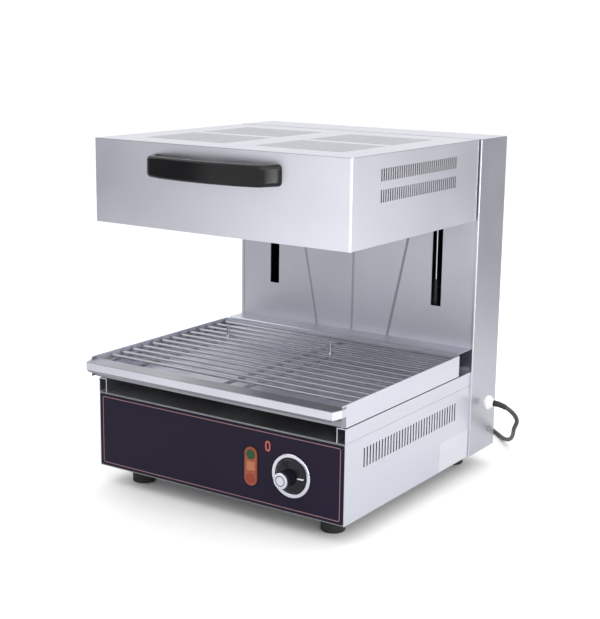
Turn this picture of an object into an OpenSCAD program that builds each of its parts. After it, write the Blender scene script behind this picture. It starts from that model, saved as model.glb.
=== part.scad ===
// Lift grill: a radiant hood that rises and falls on a rear column, above a sliding
// tray with a wire grid. Millimetres. +X right, +Y to the back, +Z up.
// Z = 0 is the table, the origin is the middle of the footprint.

/* [Overall] */
// Width of the base and of the hood
body_w = 450; // [430:1:480]
// Depth from the front plane to the face of the column
body_d = 374; // [360:1:400]
// Thickness of the sheet steel
sheet = 1.2; // [1:0.1:1.5]
// Outer radius of the folded corners
fold_r = 3; // [2:0.5:5]
// Fold radius at the column's front corners
column_fold_r = 2; // [1.6:0.2:3]

/* [Feet] */
// Height of the rubber feet
foot_h = 30; // [24:1:40]
// Diameter of the rubber feet at the top
foot_d = 42; // [36:1:48]
// Distance of the feet from the sides and from the front
foot_inset = 48; // [40:1:60]
// Diameter of the screws that hold the feet
foot_screw_d = 6; // [5:0.5:8]

/* [Base] */
// Height of the box behind the control panel
base_h = 119; // [110:1:130]
// Height of the rails that carry the tray
rail_h = 22; // [16:1:30]
// Width of each tray rail
rail_w = 15; // [12:1:18]
// Height of the runners on the rails
runner_h = 3; // [2:0.5:5]
// Height of the lower ends of the side slots above the bottom edge
base_vent_z = 73; // [60:1:80]
// Length of the side slots in the base
base_vent_h = 28.5; // [20:0.5:34]
// Distance from one side slot to the next in the base
base_vent_pitch = 8.3; // [7:0.1:12]
// Width of every ventilation slot
vent_w = 3; // [2:0.5:4]
// Plain border ahead of and behind the side slots in the base
base_vent_border = 50; // [40:1:80]

/* [Control panel] */
// Thickness of the panel's dark film
film_t = 0.4; // [0.3:0.1:1]
// Distance of the dial from the right side of the base
dial_inset = 87.5; // [75:0.5:100]
// Height of the dial above the bottom edge
dial_z = 57; // [50:1:64]
// Outer diameter of the dial ring
dial_ring_d = 65; // [60:1:72]
// Width of the dial ring
dial_ring_w = 6; // [4:0.5:7]
// Height of the dial ring in front of the film
dial_ring_h = 4; // [3:0.5:6]
// Diameter of the knob's grip
grip_d = 24; // [20:1:30]
// How far the knob stands out in front of the film
knob_reach = 30; // [27:1:40]
// Diameter of the regulator's shaft
shaft_d = 6; // [5:0.5:8]
// Distance of the lamp frame from the dial
lamp_gap = 70.5; // [62:0.5:90]
// Height of the middle of the lamp frame above the bottom edge
lamp_z = 57; // [50:1:64]
// Height of the lamp frame
lamp_frame_h = 58; // [54:1:66]
// Width of the lamp frame
lamp_frame_w = 21.6; // [20:0.2:24]
// Distance between the two lamps
lamp_pitch = 36; // [33:1:40]
// Diameter of the lamp lenses
lamp_d = 15; // [12:0.5:17]

/* [Column] */
// Depth of the rear column
column_d = 89; // [86:1:100]
// How far each side of the column stands out past the base
column_step = 3; // [2:0.5:6]
// How far the back cover lies inside the column's rear edges
back_inset = 2; // [2:0.5:4]
// Width of the front folds of the column
column_return = 5; // [4:0.5:8]
// Distance of each lift slot from the side of the base
slot_inset = 67.5; // [60:0.5:70]
// Width of the lift slots
slot_w = 18; // [16:0.5:22]
// Height of the lower ends of the lift slots above the rails
slot_low = 99; // [80:1:105]
// How far the ledge reaches ahead of the column
ledge_d = 42; // [36:1:43]
// Thickness of the pressed creases' grooves
crease_depth = 0.7; // [0.3:0.1:0.8]
// Width of the pressed creases
crease_w = 7; // [3:0.5:9]

/* [Hood] */
// Height of the hood
hood_h = 125; // [118:1:135]
// Clear height between the rails and the raised hood
clear_h = 244; // [236:1:260]
// How far the hood can be lowered
lift_h = 180; // [120:1:190]
// Gap between the hood and the column
hood_gap = 4; // [4:0.5:20]
// Length of the slots in the sides of the hood
hood_vent_h = 17.5; // [12:0.5:20]
// Plain border ahead of the slots in the sides of the hood
hood_vent_front = 78; // [40:1:100]
// Plain border behind the slots in the sides of the hood
hood_vent_back = 69; // [40:1:100]
// Distance from one slot to the next in the sides of the hood
hood_vent_pitch = 6.2; // [5.5:0.1:9]
// Height of the upper row of side slots above the hood's lower edge
hood_vent_row_1 = 87; // [82:1:94]
// Height of the lower row of side slots above the hood's lower edge
hood_vent_row_2 = 58; // [50:1:62]
// Length of the slots in the top of the hood
top_slot_l = 150; // [100:1:160]
// Distance from one slot to the next in the top of the hood
top_slot_pitch = 11; // [9:0.5:16]
// Depth of the heating chamber
chamber_h = 70; // [60:1:76]
// Diameter of the heating elements
element_d = 8; // [6.5:0.5:9]
// Distance between the legs of the heating elements
element_pitch = 40; // [34:1:44]
// Distance of the heating elements from the front and rear of the reflector
element_margin = 19; // [12:1:22]

/* [Handle] */
// How far the handle stands out in front of the hood
handle_reach = 42; // [36:1:50]
// Height of the handle's section
handle_h = 31; // [26:1:36]
// Thickness of the handle's section
handle_t = 9; // [7:0.5:11]
// Distance between the outer ends of the handle
handle_w = 232; // [210:1:250]
// Distance of the handle below the top of the hood
handle_drop = 16; // [12:1:24]

/* [Tray and grid] */
// How far each side of the tray stands out past the base
tray_step = 2; // [1:0.5:3]
// Height of the tray's side walls
tray_h = 33; // [28:1:38]
// How far the tray's lip stands in front of the front plane
tray_reach = 31; // [24:1:36]
// Gap between the tray and the column
tray_gap = 45; // [44:1:52]
// Width of the flat shelf behind the tray's lip
shelf_d = 27; // [22:1:32]
// Height of the lip at the tray's front
lip_h = 16.5; // [14:0.5:22]
// Height of the lip's lower edge, which leans back
lip_lean_h = 4.5; // [2:0.5:8]
// Step from the side walls down to the shelf
shelf_drop = 4.5; // [2:0.5:6]
// Distance from the tray's rim down to the middle of the grid wires
grid_drop = 7; // [6:0.5:10]
// Diameter of the grid wires
wire_d = 5; // [4:0.5:6]
// Distance between the grid wires
wire_pitch = 24.2; // [20:0.2:28]
// Number of grid wires across the tray
wire_count = 13; // [9:1:13]
// Distance of the left plate stop from the left side of the base
stop_left = 66; // [40:1:120]
// Distance of the right plate stop from the right side of the base
stop_right = 183; // [120:1:200]
// Height of the plate stops
stop_h = 22.8; // [15:0.1:30]
// Width of the rests that carry the grid
rest_w = 8; // [6:0.5:12]

/* [Lift] */
// Diameter of the guide rods
guide_d = 12; // [10:1:14]
// Distance between each guide rod and its lift slot
guide_gap = 57.5; // [50:0.5:62]
// Diameter of the gas struts' cylinders
strut_d = 15; // [13:1:18]
// Diameter of the gas struts' rods
strut_rod_d = 6; // [5:0.5:8]
// Running clearance of shafts and rods in their bores
running = 0.05; // [0.03:0.01:0.09]

/* [Mains lead] */
// Diameter of the mains lead
cord_d = 7; // [6:0.5:7]
// Height of the cable gland above the table
gland_z = 108; // [108:1:112]
// Distance of the cable gland from the column's back
gland_back = 29; // [26:1:34]
// Outer diameter of the cable gland
gland_d = 23; // [20:1:25]
// How far the cable gland stands out of the column
gland_reach = 12; // [10:1:16]

/* [Hidden] */
$fn = 48;

eps = 0.01;
flush = 0.02;

// Depths along Y
overall_d = handle_reach + body_d + column_d;
column_back_y = overall_d / 2;
column_y = column_back_y - column_d;
front_y = column_y - body_d;
hood_back_y = column_y - hood_gap;
face_y = column_y + sheet;
cover_y = column_back_y - back_inset - sheet;
ledge_y = column_y - ledge_d;

// Widths along X
half_w = body_w / 2;
column_half = half_w + column_step;
column_in = column_half - sheet;
return_in = column_half - column_return;
face_half = column_in - (column_fold_r - sheet) - flush;
tray_half = half_w + tray_step;
dial_x = half_w - dial_inset;
lamp_x = dial_x - lamp_gap;
slot_x = half_w - slot_inset;
guide_x = slot_x - guide_gap;

// Heights along Z
base_z = foot_h;
deck_z = base_z + base_h;
rail_z = deck_z + rail_h;
tray_z = rail_z + runner_h;
rim_z = tray_z + tray_h;
shelf_z = rim_z - shelf_drop;
hood_z = rail_z + clear_h;
top_z = hood_z + hood_h;
slot_low_z = rail_z + slot_low;

// Lift mechanism
crossbar_low_z = base_z + 56;
crossbar_t = 2;
crossbar_leg = 20;
crossbar_front = 8;
crossbar_back = 6;
crossbar_up_z = top_z - 13;
guide_y = column_y + 66;
block_h = 30;
block_w = 40;
block_d = 24;
block_up_z = hood_z + 70;
carriage_low_z = hood_z - 85;
arm_t = 5;
arm_low_z = slot_low_z + lift_h + 3;
arm_high_z = block_up_z + block_h;
arm_gap = 0.6;
strut_x = slot_x - slot_w / 2 - 1.5;
arm_in_x = strut_x + strut_d / 2 + arm_gap;
carriage_y = guide_y - block_d / 2 - 4;
carriage_t = 4;
carriage_half = guide_x + block_w / 2 + 5;
flange_w = 30;
flange_t = 3;
strut_y = column_y + 20;
strut_wall = 1.2;
bracket_z = hood_z + 83;
bracket_t = 4;
nut_h = 5;
strut_top_z = bracket_z - lift_h - nut_h - 3;
socket_h = 8;
socket_d = 24;
ring_d = 20;
ring_h = 4;
sleeve_d = 16;
stop_gap = 0.3;

// Screws low on the column's sides
bond_d = 5;
bond_y = column_back_y - 19;
bond_z = base_z + 30;

// Control panel
panel_x = half_w - sheet;
dial_height = base_z + dial_z;
lamp_height = base_z + lamp_z;
film_y = front_y - film_t;
bush_d = 10;
lamp_body_d = 10;
skirt_gap = 0.6;
skirt_h = 7;

// Heating chamber
hood_mid_y = (front_y + hood_back_y) / 2;
element_count = 4;
liner_half = half_w - 19;
liner_half_d = (element_count - 0.5) * element_pitch + element_margin;
liner_front_y = hood_mid_y - liner_half_d;
liner_back_y = hood_mid_y + liner_half_d;
chamber_z = hood_z + chamber_h;
element_z = hood_z + 38;
element_tail = 12;
element_run = liner_half - 22;
insulation_h = 26;
hanger_x = 110;

// Mains lead: the free stretch starts at the gland's mouth. Each point holds its
// distance from the mouth along X and Y, and its height above the table.
cord_r = cord_d / 2;
lie = cord_r + 0.1;
mouth_x = column_half + gland_reach;
gland_y = column_back_y - gland_back;
gland_thread_d = gland_d - 7;
route = [
  [0, 0, 108], [8, 0.5, 107.5], [15.5, 2, 105.5], [22.5, 5, 101.5], [28, 9, 96],
  [31.5, 14, 89.5], [32.5, 20, 82], [30.5, 26, 74.5], [26, 32, 67], [20.5, 39.5, 59],
  [15.5, 48.5, 50.5], [10, 59.5, 42], [3.5, 71.5, 34], [-4, 84.5, 26], [-13, 98, 18.5],
  [-23.5, 112.5, 12], [-35.5, 127.5, 7], [-49.5, 143, 4.2], [-65, 158.5, 3.6],
  [-81.5, 173, 3.6], [-97, 187, 3.6], [-112, 201, 3.6]];
coil_heading = 137;
coil_turns = 5 + (270 - coil_heading) / 360;
coil_r = 53;
coil_pitch = cord_d + 0.6;
coil_rise = cord_d + 1;
coil_steps = 24;
tail_l = 32;
plug_w = 38;
plug_l = 44;
boot_l = 16;
boot_d = 15;
pin_d = 4.8;
pin_l = 19;
pin_pitch = 19;

steel = [0.80, 0.81, 0.83];
steel_dark = [0.62, 0.63, 0.65];
steel_inner = [0.52, 0.53, 0.55];
film_colour = [0.15, 0.12, 0.18];
black = [0.09, 0.09, 0.10];
chrome = [0.86, 0.87, 0.89];
zinc = [0.70, 0.71, 0.70];

// ---------------------------------------------------------------- helpers

// Plate that stands across X at one depth: its outline is drawn as (X, Z)
module wall_y(y, t) {
  translate([0, y + t, 0]) rotate([90, 0, 0]) linear_extrude(t) children();
}

// Plate that stands across Y at one X: its outline is drawn as (Y, Z)
module wall_x(x, t) {
  translate([x, 0, 0]) rotate([90, 0, 90]) linear_extrude(t) children();
}

// Level plate: its outline is drawn as (X, Y)
module level(z, t) {
  translate([0, 0, z]) linear_extrude(t) children();
}

// Rectangle between two corners
module rect(x0, y0, x1, y1) {
  translate([x0, y0]) square([x1 - x0, y1 - y0]);
}

// Box between two corners
module box(a, b) {
  translate(a) cube(b - a);
}

// Rectangle with four round corners, centred
module round_rect(w, h, r) {
  square([w - 2 * r, h], center = true);
  square([w, h - 2 * r], center = true);
  for (x = [-1, 1], y = [-1, 1]) translate([x * (w / 2 - r), y * (h / 2 - r)]) circle(r);
}

// Folded corner, with legs a and b, in the first quarter
module fold(a, b, t, r) {
  translate([r, 0]) square([a - r, t]);
  translate([0, r]) square([t, b - r]);
  intersection() {
    square(r);
    translate([r, r]) difference() {
      circle(r);
      circle(r - t);
    }
  }
}

// Same shape on both sides of the middle
module both_sides() {
  children();
  mirror([1, 0, 0]) children();
}

// Round bar along Y, from its front end
module bar_y(x, y, z, d, l) {
  translate([x, y, z]) rotate([-90, 0, 0]) cylinder(d = d, h = l);
}

// Round bar along X, from its left end
module bar_x(x, y, z, d, l) {
  translate([x, y, z]) rotate([0, 90, 0]) cylinder(d = d, h = l);
}

// Tube along Z
module tube(outer, inner, h) {
  difference() {
    cylinder(d = outer, h = h);
    translate([0, 0, -1]) cylinder(d = inner, h = h + 2);
  }
}

// Row of equal slots: size along the row, size across it, pitch, first centre, count
module slots(w, h, pitch, first, count) {
  for (i = [0 : count - 1]) translate([first + i * pitch - w / 2, 0]) square([w, h]);
}

// ------------------------------------------------------------------- base

module base_floor() {
  color(steel_dark) difference() {
    level(base_z, sheet) {
      rect(-panel_x, front_y, panel_x, column_y);
      rect(-return_in, column_y - eps, return_in, face_y + eps);
      rect(-face_half, face_y, face_half, cover_y);
    }
    for (p = foot_places()) translate([p[0], p[1], base_z - 1])
      cylinder(d = foot_screw_d + 0.4, h = sheet + 2);
  }
}

function foot_places() = [
  for (x = [-1, 1], y = [front_y + foot_inset, column_back_y - foot_inset])
    [x * (half_w - foot_inset), y]];

module base_side() {
  vent_first = front_y + base_vent_border;
  vent_count = floor((body_d - 2 * base_vent_border) / base_vent_pitch) + 1;
  color(steel) wall_x(panel_x, sheet) difference() {
    rect(front_y, base_z, column_y, deck_z);
    translate([0, base_z + base_vent_z]) slots(vent_w, base_vent_h, base_vent_pitch, vent_first, vent_count);
  }
}

module base_side_right() {
  base_side();
}

module base_side_left() {
  mirror([1, 0, 0]) base_side();
}

module inner_deck() {
  color(steel_inner) level(deck_z - sheet, sheet) rect(-panel_x, front_y, panel_x, column_y);
}

module panel_holes() {
  translate([dial_x, dial_height]) circle(d = bush_d + 0.4);
  for (z = [-1, 1]) translate([lamp_x, lamp_height + z * lamp_pitch / 2]) circle(d = lamp_body_d + 0.4);
}

module control_panel() {
  color(steel_dark) wall_y(front_y, sheet) difference() {
    rect(-panel_x, base_z + sheet, panel_x, deck_z - sheet);
    panel_holes();
  }
}

module panel_film() {
  film_w = 2 * panel_x - 1;
  film_h = base_h - 4;
  color(film_colour) wall_y(film_y, film_t) difference() {
    translate([0, base_z + base_h / 2 - 0.5]) round_rect(film_w, film_h, 3);
    panel_holes();
  }
}

module tray_rail() {
  color(steel) translate([0, column_y, 0]) rotate([90, 0, 0]) linear_extrude(body_d) {
    rect(half_w - rail_w, rail_z - sheet, half_w, rail_z);
    rect(half_w - sheet, deck_z + 0.3, half_w, rail_z);
    rect(half_w - rail_w, deck_z, half_w - rail_w + sheet, rail_z);
  }
}

module tray_rail_right() {
  tray_rail();
}

module tray_rail_left() {
  mirror([1, 0, 0]) tray_rail();
}

module tray_runners() {
  color(black) both_sides() box([half_w - rail_w + 1, front_y + 2, rail_z],
    [half_w - 2, column_y - tray_gap - 2, tray_z]);
}

module feet() {
  recess_d = 2.4 * foot_screw_d;
  recess_h = foot_h * 0.5;
  foot_r = foot_d / 2;
  color(black) for (p = foot_places()) translate(p) rotate_extrude() difference() {
    union() {
      rect(0, 0, foot_r - 5, foot_h);
      rect(0, 2, foot_r - 3, foot_h);
      translate([foot_r - 5, 2]) circle(2);
      rect(0, foot_h - 8, foot_r, foot_h);
    }
    rect(-1, -1, foot_screw_d / 2 + 0.2, foot_h + 1);
    rect(-1, -1, recess_d / 2, recess_h);
  }
}

module foot_screws() {
  color(zinc) for (p = foot_places()) translate(p) {
    translate([0, 0, foot_h * 0.5 - foot_screw_d * 0.6])
      cylinder(d = 2 * foot_screw_d, h = foot_screw_d * 0.6);
    cylinder_from(foot_h * 0.5, base_z + sheet + foot_screw_d, foot_screw_d);
    translate([0, 0, base_z + sheet]) cylinder(d = foot_screw_d * 1.9, h = foot_screw_d * 0.8, $fn = 6);
  }
}

module cylinder_from(z0, z1, d) {
  translate([0, 0, z0 - eps]) cylinder(d = d, h = z1 - z0 + eps);
}

// ---------------------------------------------------------- control panel

module lamp_frame() {
  frame_t = 2.5;
  marker_h = lamp_pitch - lamp_d - 7;
  color([0.85, 0.62, 0.50]) wall_y(film_y - frame_t, frame_t) difference() {
    translate([lamp_x, lamp_height]) round_rect(lamp_frame_w, lamp_frame_h, lamp_frame_w / 2 - 0.1);
    for (z = [-1, 1]) translate([lamp_x, lamp_height + z * lamp_pitch / 2]) circle(d = lamp_d + 0.4);
    translate([lamp_x, lamp_height]) square([lamp_d + 0.4, marker_h + 0.4], center = true);
  }
}

module lamp(side) {
  lens_h = 3.4;
  translate([lamp_x, film_y, lamp_height + side * lamp_pitch / 2]) rotate([90, 0, 0]) {
    cylinder(d = lamp_d, h = lens_h - 1);
    translate([0, 0, lens_h - 1 - eps]) cylinder(d1 = lamp_d, d2 = lamp_d - 3, h = 1);
    translate([0, 0, -28]) cylinder(d = lamp_body_d, h = 28 + eps);
  }
}

module lamp_green() {
  color([0.12, 0.48, 0.24]) lamp(1);
}

module lamp_orange() {
  color([0.80, 0.28, 0.14]) lamp(-1);
}

module lamp_marker() {
  marker_h = lamp_pitch - lamp_d - 7;
  color([0.90, 0.56, 0.40]) wall_y(film_y - 2, 2)
    translate([lamp_x, lamp_height]) square([lamp_d, marker_h], center = true);
}

module dial_ring() {
  ring_r = dial_ring_d / 2;
  color(chrome) translate([dial_x, film_y, dial_height]) rotate([90, 0, 0]) rotate_extrude($fn = 96) {
    translate([ring_r - dial_ring_w, 0]) square([dial_ring_w, dial_ring_h - dial_ring_w / 4]);
    translate([ring_r - dial_ring_w + dial_ring_w / 4, 0]) square([dial_ring_w / 2, dial_ring_h]);
    for (x = [ring_r - dial_ring_w * 3 / 4, ring_r - dial_ring_w / 4])
      translate([x, dial_ring_h - dial_ring_w / 4]) circle(dial_ring_w / 4);
  }
}

module regulator() {
  case_w = 38;
  case_d = 32;
  bush_l = film_t + sheet + 4;
  color([0.75, 0.72, 0.62]) difference() {
    union() {
      box([dial_x - case_w / 2, front_y + sheet, dial_height - case_w / 2],
        [dial_x + case_w / 2, front_y + sheet + case_d, dial_height + case_w / 2]);
      bar_y(dial_x, front_y + sheet - bush_l, dial_height, bush_d, bush_l + 1);
    }
    bar_y(dial_x, front_y - 20, dial_height, shaft_d + 2 * running, 20 + sheet + case_d * 0.6);
  }
}

module regulator_nut() {
  color(zinc) difference() {
    translate([dial_x, film_y, dial_height]) rotate([90, 0, 0]) cylinder(d = 16, h = 3, $fn = 6);
    bar_y(dial_x, film_y - 5, dial_height, bush_d + 0.1, 8);
  }
}

module regulator_shaft() {
  shaft_l = knob_reach - 5;
  inside_l = sheet + 14;
  color(zinc) bar_y(dial_x, film_y - shaft_l, dial_height, shaft_d, shaft_l + film_t + inside_l);
}

// Knob: a low skirt with a ribbed grip in its middle, turned about Y
module knob() {
  skirt_r = dial_ring_d / 2 - dial_ring_w - skirt_gap;
  grip_r = grip_d / 2;
  cap_h = 2;
  grip_h = knob_reach - cap_h - skirt_gap;
  recess_r = 10;
  recess_h = 5.5;
  bore_r = shaft_d / 2 + running;
  bore_h = knob_reach - 4.6;
  color(black) translate([dial_x, film_y - skirt_gap, dial_height]) rotate([90, 0, 0]) {
    rotate_extrude($fn = 96) polygon([[recess_r, 0], [skirt_r, 0], [skirt_r, skirt_h * 0.4],
      [skirt_r - 3, skirt_h * 0.7], [grip_r + 0.6, skirt_h], [bore_r, skirt_h], [bore_r, recess_h],
      [recess_r, recess_h]]);
    translate([0, 0, skirt_h - 0.2]) linear_extrude(bore_h - skirt_h + 0.2) difference() {
      grip_outline();
      circle(bore_r);
    }
    translate([0, 0, bore_h]) linear_extrude(grip_h - bore_h) grip_outline();
  }
}

module grip_outline() {
  rib_r = 1.3;
  circle(d = grip_d - 2);
  for (a = [12 : 24 : 359]) rotate(a) translate([grip_d / 2 - rib_r, 0]) circle(rib_r);
}

module knob_cap() {
  cap_h = 2;
  color(chrome) translate([dial_x, film_y - knob_reach + cap_h, dial_height]) rotate([90, 0, 0]) {
    cylinder(d = grip_d - 1, h = cap_h - 0.6);
    translate([0, 0, cap_h - 0.6 - eps]) cylinder(d1 = grip_d - 1, d2 = grip_d - 2.6, h = 0.6);
  }
}

module terminal_block() {
  ways = 4;
  way_w = 14;
  color([0.90, 0.88, 0.82]) difference() {
    box([half_w - 50 - ways * way_w, column_y - 70, base_z + sheet],
      [half_w - 50, column_y - 46, base_z + sheet + 22]);
    for (i = [0 : ways - 1]) translate([half_w - 50 - (i + 0.5) * way_w, column_y - 58, base_z + sheet + 10])
      cylinder(d = 7, h = 20);
  }
}

// ----------------------------------------------------------------- column

module column_side() {
  color(steel) difference() {
    translate([0, 0, base_z]) linear_extrude(top_z - sheet - base_z) translate([column_half, column_y])
      mirror([1, 0]) fold(column_return, column_d, sheet, column_fold_r);
    bar_x(column_in - 1, bond_y, bond_z, bond_d + 0.4, sheet + 2);
  }
}

module column_side_right() {
  color(steel) difference() {
    column_side();
    bar_x(column_in - 1, gland_y, gland_z, gland_thread_d + 0.4, sheet + 2);
  }
}

module column_side_left() {
  mirror([1, 0, 0]) column_side();
}

// Groove along a line, cut into the front of the column's face
module crease(x_low, x_high, z_low, z_high) {
  length = norm([x_high - x_low, z_high - z_low]);
  lean = atan2(x_high - x_low, z_high - z_low);
  translate([x_low, face_y, z_low]) rotate([0, lean, 0]) linear_extrude(length)
    polygon([[-crease_w / 2, -1], [crease_w / 2, -1], [crease_w / 2, 0], [0, crease_depth],
      [-crease_w / 2, 0]]);
}

module column_face() {
  slot_high_z = arm_high_z + 8;
  crease_low_z = rim_z + 6;
  crease_high_z = top_z - 40;
  color(steel) difference() {
    wall_y(face_y, sheet) difference() {
      rect(-face_half, deck_z, face_half, top_z - sheet);
      for (x = [-1, 1]) rect(x * slot_x - slot_w / 2, slot_low_z, x * slot_x + slot_w / 2, slot_high_z);
    }
    crease(0, 0, crease_low_z, crease_high_z);
    crease(70, 128, crease_low_z, crease_high_z);
    crease(-70, -128, crease_low_z, crease_high_z);
  }
}

// Ledge that covers the gap behind the tray
module rear_ledge() {
  ledge_half = column_half - column_return;
  ledge_z = rim_z + 0.5;
  color(steel_dark) translate([-ledge_half, 0, 0]) rotate([90, 0, 90]) linear_extrude(2 * ledge_half) {
    translate([ledge_y, ledge_z + sheet]) mirror([0, 1]) fold(face_y - ledge_y, 9, sheet, column_fold_r);
    rect(face_y - sheet, rail_z + 8, face_y, ledge_z + sheet);
  }
}

module column_top() {
  color(steel) level(top_z - sheet, sheet) rect(-column_half, column_y, column_half, column_back_y);
}

module column_back() {
  color(steel_dark) wall_y(cover_y, sheet) difference() {
    rect(-column_in, base_z, column_in, top_z - sheet);
    for (p = cover_screw_places()) translate(p) circle(d = cover_screw_d + 0.4);
  }
}

module crossbar_section(z, up) {
  rect(-column_in, z, column_in, z + crossbar_t);
  for (x = [-1, 1]) rect(min(x * column_in, x * (column_in - crossbar_t)), up ? z : z - crossbar_leg,
    max(x * column_in, x * (column_in - crossbar_t)), up ? z + crossbar_leg * 0.4 : z + crossbar_t);
}

module lower_crossbar() {
  bar_d = column_d - crossbar_front - crossbar_back;
  color(steel_inner) wall_y(column_y + crossbar_front, bar_d)
    crossbar_section(crossbar_low_z - crossbar_t, false);
}

module upper_crossbar() {
  bar_d = column_d - crossbar_front - crossbar_back;
  color(steel_inner) wall_y(column_y + crossbar_front, bar_d) crossbar_section(crossbar_up_z, true);
}

module guide_rods() {
  color(chrome) both_sides() translate([guide_x, guide_y, crossbar_low_z])
    cylinder(d = guide_d, h = crossbar_up_z - crossbar_low_z);
}

module rod_sockets() {
  socket_bore = guide_d + 0.1;
  color(steel_dark) both_sides() for (z = [crossbar_low_z, crossbar_up_z - socket_h])
    translate([guide_x, guide_y, z]) tube(socket_d, socket_bore, socket_h);
}

// Lower end of the lower bearing blocks with the hood down
low_stop_z = carriage_low_z - lift_h;

module stop_sleeves() {
  color(steel_dark) both_sides() translate([guide_x, guide_y, crossbar_low_z + socket_h])
    tube(sleeve_d, guide_d + 0.1, low_stop_z - stop_gap - ring_h - crossbar_low_z - socket_h);
}

module stop_rings() {
  high_stop_z = arm_high_z + stop_gap;
  color(black) both_sides() {
    translate([guide_x, guide_y, low_stop_z - stop_gap - ring_h]) tube(ring_d, guide_d + 0.1, ring_h);
    translate([guide_x, guide_y, high_stop_z])
      tube(ring_d, guide_d + 0.1, crossbar_up_z - socket_h - high_stop_z);
  }
}

module strut_cylinders() {
  length = strut_top_z - crossbar_low_z;
  color(black) both_sides() translate([strut_x, strut_y, crossbar_low_z]) difference() {
    cylinder(d = strut_d, h = length);
    translate([0, 0, 3]) cylinder(d = strut_d - 2 * strut_wall, h = length - 7);
    cylinder_from(length - 6, length + 1, strut_rod_d + 2 * running);
  }
}

cover_screw_d = 4;

function cover_screw_places() = [
  for (x = [-1, 1], z = [base_z + 25, (base_z + top_z) / 2, top_z - 25]) [x * (column_in - 14), z]];

// Screws of the back cover: their heads lie inside the column's rear edges
module cover_screws() {
  color(zinc) for (p = cover_screw_places()) {
    bar_y(p[0], cover_y - 6, p[1], cover_screw_d, 6 + sheet + eps);
    bar_y(p[0], cover_y + sheet, p[1], 2 * cover_screw_d, back_inset - 0.3);
  }
}

module column_screws() {
  cover_screws();
  bond_screws();
}

// Screws low on the column's sides
module bond_screws() {
  color(zinc) both_sides() {
    bar_x(column_in - 8, bond_y, bond_z, bond_d, 8 + sheet + eps);
    translate([column_half, bond_y, bond_z]) rotate([0, 90, 0]) cylinder(d = 11, h = 2, $fn = 6);
  }
}

module gland_nut() {
  color([0.92, 0.92, 0.90]) difference() {
    translate([column_in - 5, gland_y, gland_z]) rotate([0, 90, 0]) cylinder(d = gland_d, h = 5, $fn = 6);
    bar_x(column_in - 6, gland_y, gland_z, gland_thread_d + 0.1, 8);
  }
}

// ------------------------------------------------------------------- hood

module hood_plan() {
  translate([0, hood_mid_y]) round_rect(body_w, hood_back_y - front_y, fold_r);
  rect(-half_w, hood_back_y - 2 * fold_r, half_w, hood_back_y);
}

module hood_vents() {
  first = front_y + hood_vent_front;
  count = floor((hood_back_y - hood_vent_back - first) / hood_vent_pitch) + 1;
  for (z = [hood_vent_row_1, hood_vent_row_2])
    translate([0, hood_z + z]) slots(vent_w, hood_vent_h, hood_vent_pitch, first, count);
}

module hood_shell() {
  rim_w = 17.5;
  color(steel) difference() {
    union() {
      level(hood_z, hood_h - sheet) difference() {
        hood_plan();
        hood_plan_inner();
      }
      level(hood_z, sheet) difference() {
        hood_plan();
        rect(-half_w + rim_w, front_y + rim_w, half_w - rim_w, hood_back_y + 1);
      }
    }
    wall_x(-half_w - 1, body_w + 2) hood_vents();
    for (x = [-1, 1]) bar_y(x * handle_screw_x, front_y - 1, handle_z, handle_screw_d + 0.4, sheet + 2);
  }
}

module hood_plan_inner() {
  inner_r = fold_r - sheet;
  translate([0, hood_mid_y]) round_rect(body_w - 2 * sheet, hood_back_y - front_y - 2 * sheet, inner_r);
  rect(-half_w + sheet, hood_back_y - 2 * fold_r, half_w - sheet, hood_back_y + 1);
}

module hood_top() {
  rows_per_group = 11;
  group_l = (rows_per_group - 1) * top_slot_pitch;
  gap_x = 50;
  slot_h = 3.5;
  color(steel) level(top_z - sheet, sheet) difference() {
    hood_plan();
    for (x = [-1, 1], y = [hood_mid_y - group_l - 15, hood_mid_y + 15], i = [0 : rows_per_group - 1])
      translate([x * (gap_x + top_slot_l) / 2, y + i * top_slot_pitch])
        round_rect(top_slot_l, slot_h, slot_h / 2 - 0.1);
  }
}

module hood_rear() {
  color(steel_dark) wall_y(hood_back_y - sheet, sheet)
    rect(-half_w + sheet, hood_z + sheet, half_w - sheet, top_z - sheet);
}

// Reflector: an upturned pan whose flange rests on the shell's lower rim
module hood_liner() {
  flange = 14;
  color([0.74, 0.75, 0.78]) difference() {
    union() {
      box([-liner_half, liner_front_y, hood_z + sheet], [liner_half, liner_back_y, chamber_z]);
      box([-half_w + sheet + 1, front_y + sheet + 1, hood_z + sheet],
        [half_w - sheet - 1, hood_back_y - sheet - 0.3, hood_z + 2 * sheet]);
    }
    box([-liner_half + sheet, liner_front_y + sheet, hood_z - 1],
      [liner_half - sheet, liner_back_y - sheet, chamber_z - sheet]);
    for (y = element_legs()) bar_x(liner_half - 10, y, element_z, element_d + 0.6, 20);
  }
}

function element_legs() = [
  for (i = [0 : 2 * element_count - 1]) hood_mid_y + (i - element_count + 0.5) * element_pitch];

module insulation() {
  color([0.85, 0.80, 0.66]) box([-liner_half + 4, liner_front_y + 4, chamber_z],
    [liner_half - 4, liner_back_y - 4, chamber_z + insulation_h]);
}

// Each element is a U: two legs along X and a round bend at the left
module heating_elements() {
  bend_r = element_pitch / 2;
  color([0.16, 0.16, 0.17]) for (i = [0 : element_count - 1]) {
    mid_y = hood_mid_y + (2 * i - element_count + 1) * element_pitch;
    for (y = [mid_y - bend_r, mid_y + bend_r])
      bar_x(-element_run + bend_r, y, element_z, element_d, element_run - bend_r + liner_half + element_tail);
    translate([-element_run + bend_r, mid_y, element_z]) rotate(90) rotate_extrude(angle = 180)
      translate([bend_r, 0]) circle(d = element_d);
  }
}

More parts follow.
